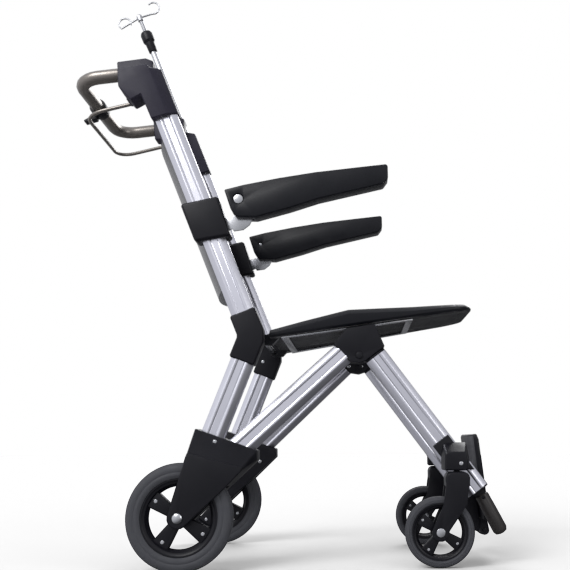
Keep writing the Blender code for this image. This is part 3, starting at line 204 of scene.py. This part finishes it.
def brushed_stainless():
    """Stainless steel, brushed: bright, with fine scratches that blur the reflections."""
    material, tree, shader, place = start_material("brushed_stainless", 0.26, 1)
    scratches = add_node(tree, "ShaderNodeTexNoise", {"Vector": place, "Scale": 1000 / 0.5,
                                                      "Detail": 3.0})
    vary(tree, shader, place, list(finishes().steel), 0.06, 25, 0.26, 0.06)
    bump(tree, shader, scratches.outputs["Fac"], 0.10, 0.04)
    return material


def coated_bar():
    """Steel tube under a warm grey metallic lacquer: satin, a little uneven."""
    material, tree, shader, place = start_material("warm_grey_lacquer", 0.36, 0.85)
    peel = add_node(tree, "ShaderNodeTexNoise", {"Vector": place, "Scale": 1000 / 1.5,
                                                 "Detail": 2.0})
    vary(tree, shader, place, list(finishes().bar), 0.07, 30, 0.36, 0.05)
    bump(tree, shader, peel.outputs["Fac"], 0.10, 0.08)
    return material


def moulded(name, colour, roughness, grain_mm, grain_depth, sheen=0.0):
    """Injection-moulded plastic: dark, with a spark-eroded grain that softens highlights."""
    material, tree, shader, place = start_material(name, roughness)
    shader.inputs["IOR"].default_value = 1.50
    shader.inputs["Specular IOR Level"].default_value = 0.22
    shader.inputs["Sheen Weight"].default_value = sheen
    shader.inputs["Sheen Roughness"].default_value = 0.4
    grain = add_node(tree, "ShaderNodeTexNoise", {"Vector": place, "Scale": 1000 / grain_mm,
                                                  "Detail": 3.0, "Roughness": 0.7})
    vary(tree, shader, place, list(colour), 0.12, 40, roughness, 0.06)
    bump(tree, shader, grain.outputs["Fac"], 0.25, grain_depth)
    return material


def tyre_rubber():
    """Solid grey tyre compound: matt, with a slow random variation of its tone and fine pores."""
    material, tree, shader, place = start_material("grey_tyre_rubber", 0.72)
    shader.inputs["IOR"].default_value = 1.52
    pores = add_node(tree, "ShaderNodeTexNoise", {"Vector": place, "Scale": 1000 / 0.8,
                                                  "Detail": 4.0, "Roughness": 0.7})
    vary(tree, shader, place, list(finishes().tyre), 0.14, 18, 0.72, 0.08)
    bump(tree, shader, pores.outputs["Fac"], 0.35, 0.15)
    return material


def grip_rubber():
    """Dipped rubber on the lift grips: dark brown-black, slightly waxy."""
    material, tree, shader, place = start_material("dipped_rubber", 0.5)
    shader.inputs["IOR"].default_value = 1.52
    skin = add_node(tree, "ShaderNodeTexNoise", {"Vector": place, "Scale": 1000 / 1.0,
                                                 "Detail": 3.0})
    vary(tree, shader, place, list(finishes().grip), 0.15, 12, 0.5, 0.08)
    bump(tree, shader, skin.outputs["Fac"], 0.2, 0.1)
    return material


def woven_polyester():
    """Plain-woven polyester: matt, drawn coarser than the cloth so that the weave shows."""
    material, tree, shader, place = start_material("woven_polyester", 0.85)
    shader.inputs["Sheen Weight"].default_value = 0.25
    pitch_mm = 12.0
    # A wave texture of scale 1 repeats every 314 mm.
    across, along = (add_node(tree, "ShaderNodeTexWave",
                              {"Vector": place, "Scale": 314 / pitch_mm, "Distortion": 0.3},
                              bands_direction=direction) for direction in ("Y", "Z"))
    cloth = add_node(tree, "ShaderNodeMath", {0: across.outputs["Fac"], 1: along.outputs["Fac"]},
                     operation="MULTIPLY")
    vary(tree, shader, place, list(finishes().sling), 0.18, 20, 0.85, 0.06)
    bump(tree, shader, cloth.outputs["Value"], 0.5, 0.3)
    return material


def finish_table():
    """Material for each of the record's slots."""
    tones = finishes()
    return {
        "aluminium": anodised_aluminium(0),
        "steel": brushed_stainless(),
        "bar": coated_bar(),
        "housing": moulded("glass_filled_nylon", tones.housing, 0.46, 0.9, 0.12),
        "black": moulded("black_nylon", tones.nylon, 0.42, 0.8, 0.10),
        "moulding": moulded("self_skinned_polyurethane", tones.seat, 0.38, 1.1, 0.10, 0.05),
        "tyre": tyre_rubber(),
        "grip": grip_rubber(),
        "fabric": woven_polyester(),
    }


# ---- making pieces ---------------------------------------------------------------------
def body_of_node(node):
    for body, nodes in frame["record"]["behaviour"]["bodies"].items():
        if node in nodes:
            return body
    raise RuntimeError(f"no body holds {node}")


def slot_of_node(node):
    for part in frame["record"]["subparts"]:
        if part["node"] == node:
            return part["material_slot"]
    raise RuntimeError(f"no slot for {node}")


def add_piece(name, bm, body, material, stands_for=(), sharp=35):
    """Makes an object of the mesh, with its finish, and lets it move with a body."""
    mesh = bpy.data.meshes.new(name)
    bm.to_mesh(mesh)
    bm.free()
    mesh.materials.append(material)
    mesh.shade_smooth()
    mesh.set_sharp_from_angle(angle=math.radians(sharp))
    piece = bpy.data.objects.new(name, mesh)
    bpy.context.scene.collection.objects.link(piece)
    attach(piece, body)
    if stands_for:
        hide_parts(*stands_for)
    return piece


def merged_copy(node):
    """The node's solid as one welded mesh, with its flat faces whole."""
    bm = bmesh.new()
    bm.from_mesh(bpy.data.objects[node].data)
    bmesh.ops.remove_doubles(bm, verts=bm.verts[:], dist=0.01 * MM)
    bmesh.ops.dissolve_limit(bm, angle_limit=math.radians(0.6), verts=bm.verts[:],
                             edges=bm.edges[:])
    return bm


def sharp_edges(bm, angle):
    return [e for e in bm.edges if len(e.link_faces) == 2
            and e.calc_face_angle(0) > math.radians(angle)]


def soften(bm, edges, width, segments=3):
    """Rounds edges."""
    bmesh.ops.bevel(bm, geom=edges, offset=width, offset_type="OFFSET", segments=segments,
                    affect="EDGES", profile=0.5, material=-1, clamp_overlap=True)


def add_solid(name, bm, node, material, sharp):
    """Makes the piece that stands for a node, once its many-sided faces are split."""
    bmesh.ops.triangulate(bm, faces=[f for f in bm.faces if len(f.verts) > 4])
    return add_piece(name, bm, body_of_node(node), material, (node,), sharp)


def finished_node(node, material, width, angle=28, sharp=40):
    """A moulded or machined piece of the frame, with its edges rounded."""
    bm = merged_copy(node)
    soften(bm, sharp_edges(bm, angle), width, 2)
    return add_solid(f"{node}_finished", bm, node, material, sharp)


def turned_piece(profile, centre, axis, steps):
    """Mesh of a closed profile of (radius, height) pairs, spun about an axis."""
    bm = bmesh.new()
    points = [bm.verts.new((radius, 0, height)) for radius, height in profile]
    edges = [bm.edges.new(pair) for pair in zip(points, points[1:] + points[:1])]
    bmesh.ops.spin(bm, geom=points + edges, cent=(0, 0, 0), axis=(0, 0, 1),
                   angle=math.tau, steps=steps, use_merge=True)
    bmesh.ops.remove_doubles(bm, verts=bm.verts[:], dist=0.001 * MM)
    bmesh.ops.recalc_face_normals(bm, faces=bm.faces[:])
    turn = Vector((0, 0, 1)).rotation_difference(Vector(axis)).to_matrix().to_4x4()
    bmesh.ops.transform(bm, matrix=Matrix.Translation(centre) @ turn, verts=bm.verts[:])
    return bm


def cut_channels(bm, face, across, places, width, depth, flat=0.9999, within=0.2 * MM):
    """Cuts straight channels into a side, at distances from the middle of one of its faces.
    The side is all the faces that point as that face does, and lie level with it."""
    centre, normal = face.calc_center_median(), face.normal.copy()

    def side():
        return [f for f in bm.faces if f.normal.dot(normal) > flat
                and abs((f.calc_center_median() - centre).dot(normal)) < within]

    for place in places:
        for edge in (-width / 2, width / 2):
            faces = side()
            parts = set(faces) | {e for f in faces for e in f.edges}
            parts |= {v for f in faces for v in f.verts}
            bmesh.ops.bisect_plane(bm, geom=list(parts), plane_no=across,
                                   plane_co=centre + across * (place + edge))
    faces = side()
    for place in places:
        strip = [f for f in faces
                 if abs((f.calc_center_median() - centre).dot(across) - place) < width / 2]
        bmesh.ops.inset_region(bm, faces=strip, thickness=0.15 * MM, depth=-depth)


def join(bm, other):
    """Adds one mesh to another."""
    mesh = bpy.data.meshes.new("joined")
    other.to_mesh(mesh)
    other.free()
    bm.from_mesh(mesh)
    bpy.data.meshes.remove(mesh)


def from_axle(x, y, z):
    """Point measured forward from the rear axle, from the middle plane and from the floor."""
    low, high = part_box("rear_axle_left")
    return Vector(((low[0] + high[0]) / 2 + x, y, z))


def screw_head(bm, centre, axis, radius):
    """Adds a button-head screw with a socket to a mesh.
    Its head is three rings, each with its rise and how far it draws in, in radii."""
    turn = Vector((0, 0, 1)).rotation_difference(Vector(axis)).to_matrix().to_4x4()
    place = Matrix.Translation(centre) @ turn
    made = bmesh.ops.create_circle(bm, cap_ends=True, segments=24, radius=radius, matrix=place)
    face = made["verts"][0].link_faces[0]
    if face.normal.dot(Vector(axis)) < 0:
        face.normal_flip()
    for rise, inset in ((0.22, 0.0), (0.16, 0.16), (0.08, 0.22)):
        ring = bmesh.ops.extrude_face_region(bm, geom=[face])
        top = [v for v in ring["geom"] if isinstance(v, bmesh.types.BMVert)]
        face = next(f for f in ring["geom"] if isinstance(f, bmesh.types.BMFace))
        middle = face.calc_center_median()
        for v in top:
            v.co += Vector(axis) * rise * radius - (v.co - middle) * inset
    bmesh.ops.inset_region(bm, faces=[face], thickness=radius * 0.12, depth=0)
    bmesh.ops.inset_region(bm, faces=[face], thickness=0.0001 * radius, depth=-radius * 0.3)


def screws(name, places, body, radius=None):
    """One piece for a group of like screws: places are (centre, axis) pairs."""
    bm = bmesh.new()
    for centre, axis in places:
        screw_head(bm, Vector(centre), Vector(axis).normalized(), radius or sizes().screw)
    return add_piece(name, bm, body, bpy.data.materials["brushed_stainless"])


# ---- stage, light and camera -----------------------------------------------------------
class STAIRCHAIR_OT_stage(bpy.types.Operator):
    """Make the pale floor, the soft lights and the camera"""
    bl_idname = "stair_chair.stage"
    bl_label = "Stage"

    def execute(self, context):
        self.add_floor(context)
        for name, place, size, power in LIGHTS:
            self.add_light(context, name, place, size, power)
        self.add_world(context)
        context.scene.view_settings.view_transform = "Standard"
        self.add_camera(context)
        return {"FINISHED"}

    def add_world(self, context):
        """Light that falls from above and behind the camera's left, on a white ground."""
        world = bpy.data.worlds.new("studio")
        world.use_nodes = True
        tree = world.node_tree
        toward = add_node(tree, "ShaderNodeTexCoord").outputs["Generated"]
        height = add_node(tree, "ShaderNodeVectorMath", {0: toward, 1: (-0.5, -0.25, 0.83)},
                          operation="DOT_PRODUCT")
        glow = add_node(tree, "ShaderNodeMapRange",
                        {"Value": height.outputs["Value"], "From Min": -0.5, "From Max": 0.6,
                         "To Min": 0.12, "To Max": 0.95})
        soft = tree.nodes["Background"]
        soft.inputs["Color"].default_value = (0.94, 0.95, 1.0, 1)
        tree.links.new(glow.outputs["Result"], soft.inputs["Strength"])
        white = add_node(tree, "ShaderNodeBackground", {"Color": (1, 1, 1, 1), "Strength": 1.0})
        seen = add_node(tree, "ShaderNodeLightPath")
        both = add_node(tree, "ShaderNodeMixShader", {"Fac": seen.outputs["Is Camera Ray"],
                                                      1: soft.outputs["Background"],
                                                      2: white.outputs["Background"]})
        tree.links.new(both.outputs["Shader"], tree.nodes["World Output"].inputs["Surface"])
        context.scene.world = world

    def add_floor(self, context):
        bm = bmesh.new()
        bmesh.ops.create_grid(bm, x_segments=1, y_segments=1, size=12)
        mesh = bpy.data.meshes.new("studio_floor")
        bm.to_mesh(mesh)
        bm.free()
        material = start_material("matt_white_paper", 0.9)[0]
        shader = material.node_tree.nodes["Principled BSDF"]
        shader.inputs["Base Color"].default_value = (0.92, 0.92, 0.92, 1)
        mesh.materials.append(material)
        floor = bpy.data.objects.new("studio_floor", mesh)
        floor.location.z = -0.5 * MM
        floor.is_shadow_catcher = True
        floor.visible_glossy = False
        context.scene.collection.objects.link(floor)

    def add_light(self, context, name, place, size, power):
        light = bpy.data.lights.new(name, "AREA")
        light.size = size
        light.energy = power
        lamp = bpy.data.objects.new(name, light)
        lamp.location = place
        aim = LIGHT_AIM - Vector(place)
        lamp.rotation_euler = aim.to_track_quat("-Z", "Y").to_euler()
        context.scene.collection.objects.link(lamp)

    def add_camera(self, context):
        data = bpy.data.cameras.new("camera")
        data.lens = CAMERA_LENS
        data.shift_x, data.shift_y = CAMERA_SHIFT
        data.clip_start = 0.05
        camera = bpy.data.objects.new("camera", data)
        camera.location = CAMERA_PLACE
        camera.rotation_euler = [math.radians(angle) for angle in CAMERA_TURN]
        context.scene.collection.objects.link(camera)
        context.scene.camera = camera


# ---- frame tubes -----------------------------------------------------------------------
class STAIRCHAIR_OT_tubes(bpy.types.Operator):
    """Make the extruded aluminium tubes with the grooves along their flat sides"""
    bl_idname = "stair_chair.tubes"
    bl_label = "Frame Tubes"

    def execute(self, context):
        for tube, angle in TUBES.items():
            finish = anodised_aluminium(angle)
            for side_name, _ in SIDES:
                self.add_tube(f"{tube}_{side_name}", finish)
        cross = bpy.data.objects["front_cross_tube"]
        cross.data.materials.clear()
        cross.data.materials.append(bpy.data.materials["anodised_aluminium_0"])
        return {"FINISHED"}

    def add_tube(self, node, finish):
        bm = merged_copy(node)
        corners = [e for e in sharp_edges(bm, 20) if e.calc_length() > 0.12]
        soften(bm, corners, 1.2 * MM, 3)
        lengthwise = max(bm.edges, key=lambda e: e.calc_length())
        along = (lengthwise.verts[1].co - lengthwise.verts[0].co).normalized()
        middle = sum((v.co for v in bm.verts), Vector()) / len(bm.verts)
        for toward in (-1, 1):
            flat = [f for f in bm.faces if f.normal.y * toward > 0.9
                    and (f.calc_center_median() - middle).y * toward > 0]
            face = max(flat, key=lambda f: (f.calc_center_median() - middle).y * toward)
            across = face.normal.cross(along).normalized()
            centre = face.calc_center_median()
            span = max(abs((v.co - centre).dot(across)) for v in face.verts)
            cut_channels(bm, face, across, [span * share for share in (-0.55, 0.55)],
                         sizes().groove_width, sizes().groove_depth)
        add_piece(f"{node}_extrusion", bm, body_of_node(node), finish, (node,), 25)


# ---- mouldings and fasteners -----------------------------------------------------------
class STAIRCHAIR_OT_mouldings(bpy.types.Operator):
    """Round the edges of the black mouldings, and give them their moulded grain"""
    bl_idname = "stair_chair.mouldings"
    bl_label = "Mouldings"

    # Edge rounding in millimetres, of the pieces in pairs and of the single ones.
    pairs = {"knee_sleeve": 1.2, "hub_bracket": 1.0, "leg_knuckle": 0.5,
             "arm_carrier": 2.0, "caster_bracket": 1.4, "caster_fork": 1.4, "lift_hinge": 0.5,
             "top_housing": 1.6}
    singles = {"hub_crossbeam": 1.5, "foot_bracket": 1.0, "lever_clamp": 0.6,
               "twist_collar": 0.6}

    def execute(self, context):
        for side_name, side in SIDES:
            self.add_rear_housing(f"rear_housing_{side_name}", side)
            for node, width in self.pairs.items():
                name = f"{node}_{side_name}"
                finished_node(name, self.finish_of(name), width * MM)
        for name, width in self.singles.items():
            finished_node(name, self.finish_of(name), width * MM)
        for side_name, side in SIDES:
            self.add_screws(side_name, side)
        return {"FINISHED"}

    def add_rear_housing(self, node, side):
        """Housing beside the wheel, with a line across it below its clamped top."""
        bm = merged_copy(node)
        soften(bm, sharp_edges(bm, 28), 1.6 * MM, 2)
        outer = max((f for f in bm.faces if f.normal.y * side > 0.99),
                    key=lambda f: f.calc_area())
        centre = outer.calc_center_median()
        across = Vector((0.30, 0, 0.954)).normalized()   # up, and a little forward
        line = from_axle(0.04, 0, 0.218) - centre
        cut_channels(bm, outer, across, [line.dot(across)], 2.4 * MM, 1.2 * MM)
        add_solid(f"{node}_finished", bm, node, self.finish_of(node), 40)

    def add_screws(self, side_name, side):
        """Screws on the flat faces of the housings, knees, hubs, carriers and brackets."""
        places = [self.landed(side_name, side, *spot) for spot in FRAME_SCREWS]
        screws(f"frame_screws_{side_name}", places, "frame")
        screws(f"bracket_screw_{side_name}", [self.landed(side_name, side, *BRACKET_SCREW)],
               "front_frame")

    def landed(self, side_name, side, node, x, z, outward):
        """Where a line from outside, or from the middle of the chair, meets a piece, and the
        way that its surface faces there."""
        facing = Vector((0, side * outward, 0))
        start = from_axle(x, facing.y if outward > 0 else 0, z)
        bm = merged_copy(f"{node}_{side_name}")
        place = BVHTree.FromBMesh(bm).ray_cast(start, -facing)[0]
        bm.free()
        if place is None:
            raise RuntimeError(f"no face of {node}_{side_name} at {x}, {z}")
        return place, facing

    def finish_of(self, node):
        kind = "glass_filled_nylon" if slot_of_node(node) == "housing" else "black_nylon"
        return bpy.data.materials[kind]


class STAIRCHAIR_OT_metalwork(bpy.types.Operator):
    """Finish the steel pieces: axles, pins, brackets, push bar, bail and drip pole"""
    bl_idname = "stair_chair.metalwork"
    bl_label = "Metalwork"

    def execute(self, context):
        steel, bar = (bpy.data.materials[n] for n in ("brushed_stainless", "warm_grey_lacquer"))
        for side_name, _ in SIDES:
            for node in ("arm_bracket", "rear_axle", "caster_axle"):
                finished_node(f"{node}_{side_name}", steel, 0.5 * MM)
            finished_node(f"fold_pin_{side_name}", bpy.data.materials["black_nylon"], 0.5 * MM)
        for node in ("pole_tube", "drip_rod", "seat_hinge_bar", "seat_strap"):
            finished_node(node, steel, 0.4 * MM, sharp=50)
        for node in ("push_bar", "release_bail"):
            finished_node(node, bar, 0.4 * MM, angle=60, sharp=60)
        return {"FINISHED"}


# ---- wheels ----------------------------------------------------------------------------
class STAIRCHAIR_OT_wheels(bpy.types.Operator):
    """Make the grooved tyres and the spoked wheel centres"""
    bl_idname = "stair_chair.wheels"
    bl_label = "Wheels"

    def execute(self, context):
        for side_name, side in SIDES:
            for kind in ("rear", "caster"):
                self.add_tyre(kind, side_name)
                self.add_rim(kind, side_name, side)
        return {"FINISHED"}

    def measures(self, node):
        low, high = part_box(node)
        centre = (Vector(low) + Vector(high)) / 2
        return centre, (high[2] - low[2]) / 2, (high[1] - low[1]) / 2

    def add_tyre(self, kind, side_name):
        """Rounded tread with two grooves round it and a shallow line on each wall."""
        centre, radius, half = self.measures(f"{kind}_tyre_{side_name}")
        inner = self.measures(f"{kind}_rim_{side_name}")[1]
        wall, cut = radius - inner, sizes().tread
        side = [(inner, 0.80), (inner + wall * 0.10, 0.93), (inner + wall * 0.22, 1.0),
                (inner + wall * 0.34, 1.0), (inner + wall * 0.37, 0.965),
                (inner + wall * 0.43, 0.965), (inner + wall * 0.46, 1.0),
                (inner + wall * 0.66, 0.99), (inner + wall * 0.82, 0.88),
                (radius - wall * 0.07, 0.68), (radius - wall * 0.03, 0.50),
                (radius - wall * 0.03 - cut, 0.46), (radius - wall * 0.02 - cut, 0.36),
                (radius - wall * 0.01, 0.32), (radius, 0.12)]
        profile = [(r, h * half) for r, h in side]
        profile += [(r, -h) for r, h in reversed(profile)]
        bm = turned_piece(profile, centre, (0, 1, 0), 96)
        name = f"{kind}_tyre_{side_name}"
        add_piece(f"{name}_rubber", bm, body_of_node(name),
                  bpy.data.materials["grey_tyre_rubber"], (name,), 50)

    def add_rim(self, kind, side_name, side):
        """Ring, hub and tapered spokes, with a screw at each spoke's root."""
        name = f"{kind}_rim_{side_name}"
        centre, radius, half = self.measures(name)
        half *= 0.86
        bore = radius * 0.095
        lip = [(radius, half), (radius * 0.955, half), (radius * 0.93, half * 0.86),
               (radius * 0.88, half * 0.80), (radius * 0.85, half * 0.42), (radius * 0.80, 0.0)]
        ring = lip + [(r, -h) for r, h in reversed(lip[:-1])]
        bm = turned_piece(ring, centre, (0, 1, 0), 96)
        hub = [(bore, half), (radius * 0.17, half), (radius * 0.20, half * 0.9),
               (radius * 0.25, half * 0.45), (radius * 0.27, 0.0)]
        hub += [(r, -h) for r, h in reversed(hub[:-1])]
        join(bm, turned_piece(hub, centre, (0, 1, 0), 48))
        step = math.tau / sizes().spokes
        start = math.radians(56)
        for i in range(sizes().spokes):
            join(bm, self.spoke(centre, radius, half, start + i * step))
        add_piece(f"{name}_moulding", bm, body_of_node(name),
                  bpy.data.materials["black_nylon"], (name,), 40)
        outward = Vector((0, side, 0))
        places = []
        for facing in (1, -1):
            for i in range(sizes().spokes):
                turn = start + i * step
                away = Vector((math.cos(turn), 0, math.sin(turn))) * radius * 0.74
                places.append((centre + away + outward * facing * half * 0.50,
                               outward * facing))
        screws(f"{name}_screws", places, body_of_node(name), radius * 0.052)

    def spoke(self, centre, radius, half, turn):
        """Flat spoke that widens to the ring, with rounded edges."""
        bm = bmesh.new()
        bmesh.ops.create_cube(bm, size=1)
        for v in bm.verts:
            far = v.co.x > 0
            wide = 0.23 if far else 0.13
            deep = 0.50 if far else 0.62
            v.co = Vector(((0.86 if far else 0.20) * radius, v.co.y * 2 * deep * half,
                           v.co.z * 2 * wide * radius))
        bmesh.ops.bevel(bm, geom=bm.edges[:], offset=radius * 0.03, offset_type="OFFSET",
                        segments=3, affect="EDGES", profile=0.5, material=-1)
        place = Matrix.Translation(centre) @ Matrix.Rotation(-turn, 4, "Y")
        bmesh.ops.transform(bm, matrix=place, verts=bm.verts[:])
        return bm


# ---- soft and moulded pieces that the sitter touches -----------------------------------
class STAIRCHAIR_OT_seating(bpy.types.Operator):
    """Finish the seat, the armrests, the sling, the footplate and the lift grips"""
    bl_idname = "stair_chair.seating"
    bl_label = "Seat and Rests"

    def execute(self, context):
        skin = bpy.data.materials["self_skinned_polyurethane"]
        self.add_seat(skin)
        self.add_footplate()
        for side_name, _ in SIDES:
            finished_node(f"armrest_{side_name}", skin, 1.5 * MM, sharp=50)
            finished_node(f"lift_grip_{side_name}", bpy.data.materials["dipped_rubber"], 1.0 * MM)
        self.add_sling()
        return {"FINISHED"}

    def add_seat(self, skin):
        """Crowned shell with ribs moulded along its underside."""
        bm = merged_copy("seat_shell")
        crests = [e for e in sharp_edges(bm, 3) if min(f.normal.z for f in e.link_faces) > 0.8
                  and abs(e.verts[0].co.x - e.verts[1].co.x) < 1 * MM]
        soften(bm, crests, 14 * MM, 4)
        soften(bm, sharp_edges(bm, 28), 2.0 * MM, 3)
        under = max((f for f in bm.faces if f.normal.z < -0.9), key=lambda f: f.calc_area())
        half_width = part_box("seat_shell")[1][1]
        pitch = sizes().seat_rib_pitch
        count = int((half_width - 30 * MM) / pitch)
        shift = under.calc_center_median().y
        cut_channels(bm, under, Vector((0, 1, 0)),
                     [i * pitch - shift for i in range(-count, count + 1)],
                     pitch * 0.5, 3.0 * MM, flat=0.94, within=40 * MM)
        add_solid("seat_moulding", bm, "seat_shell", skin, 45)

    def add_footplate(self):
        """Plate with ribs up its front face."""
        bm = merged_copy("footplate")
        front = max((f for f in bm.faces if f.normal.x > 0.9), key=lambda f: f.calc_area())
        half_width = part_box("footplate")[1][1]
        pitch = sizes().rib_pitch
        count = int((half_width - 8 * MM) / pitch)
        cut_channels(bm, front, Vector((0, 1, 0)), [i * pitch for i in range(-count, count + 1)],
                     pitch * 0.5, 1.2 * MM)
        add_solid("footplate_moulding", bm, "footplate", bpy.data.materials["black_nylon"], 40)

    def add_sling(self):
        """Woven panel, stretched between the uprights."""
        bm = merged_copy("backrest_sling")
        cloth = bpy.data.materials["woven_polyester"]
        piece = add_piece("backrest_cloth", bm, body_of_node("backrest_sling"), cloth,
                          ("backrest_sling",), 60)


# ---- interface -------------------------------------------------------------------------
class STAIRCHAIR_PT_build(bpy.types.Panel):
    """Lists the chair's pieces in the order in which they are made"""
    bl_label = "Stair Chair"
    bl_idname = "STAIRCHAIR_PT_build"
    bl_space_type = "VIEW_3D"
    bl_region_type = "UI"
    bl_category = "Stair Chair"

    def draw(self, context):
        for operator in OPERATORS:
            self.layout.operator(operator.bl_idname)
        for group in (context.scene.stair_chair_finishes, context.scene.stair_chair_sizes):
            for name in group.bl_rna.properties.keys():
                if name not in {"rna_type", "name"}:
                    self.layout.prop(group, name)


OPERATORS = (STAIRCHAIR_OT_stage, STAIRCHAIR_OT_tubes, STAIRCHAIR_OT_mouldings,
             STAIRCHAIR_OT_metalwork, STAIRCHAIR_OT_wheels, STAIRCHAIR_OT_seating)
CLASSES = (ChairFinishes, ChairSizes, *OPERATORS, STAIRCHAIR_PT_build)


def register():
    for cls in CLASSES:
        bpy.utils.register_class(cls)
    bpy.types.Scene.stair_chair_finishes = PointerProperty(type=ChairFinishes)
    bpy.types.Scene.stair_chair_sizes = PointerProperty(type=ChairSizes)


def unregister():
    del bpy.types.Scene.stair_chair_sizes
    del bpy.types.Scene.stair_chair_finishes
    for cls in reversed(CLASSES):
        bpy.utils.unregister_class(cls)


def main():
    register()
    table = finish_table()
    for node, obj in frame["nodes"].items():
        obj.data.materials.clear()
        obj.data.materials.append(table[slot_of_node(node)])
    bpy.ops.stair_chair.stage()
    bpy.ops.stair_chair.tubes()
    bpy.ops.stair_chair.mouldings()
    bpy.ops.stair_chair.metalwork()
    bpy.ops.stair_chair.wheels()
    bpy.ops.stair_chair.seating()


if __name__ == "__main__":
    main()
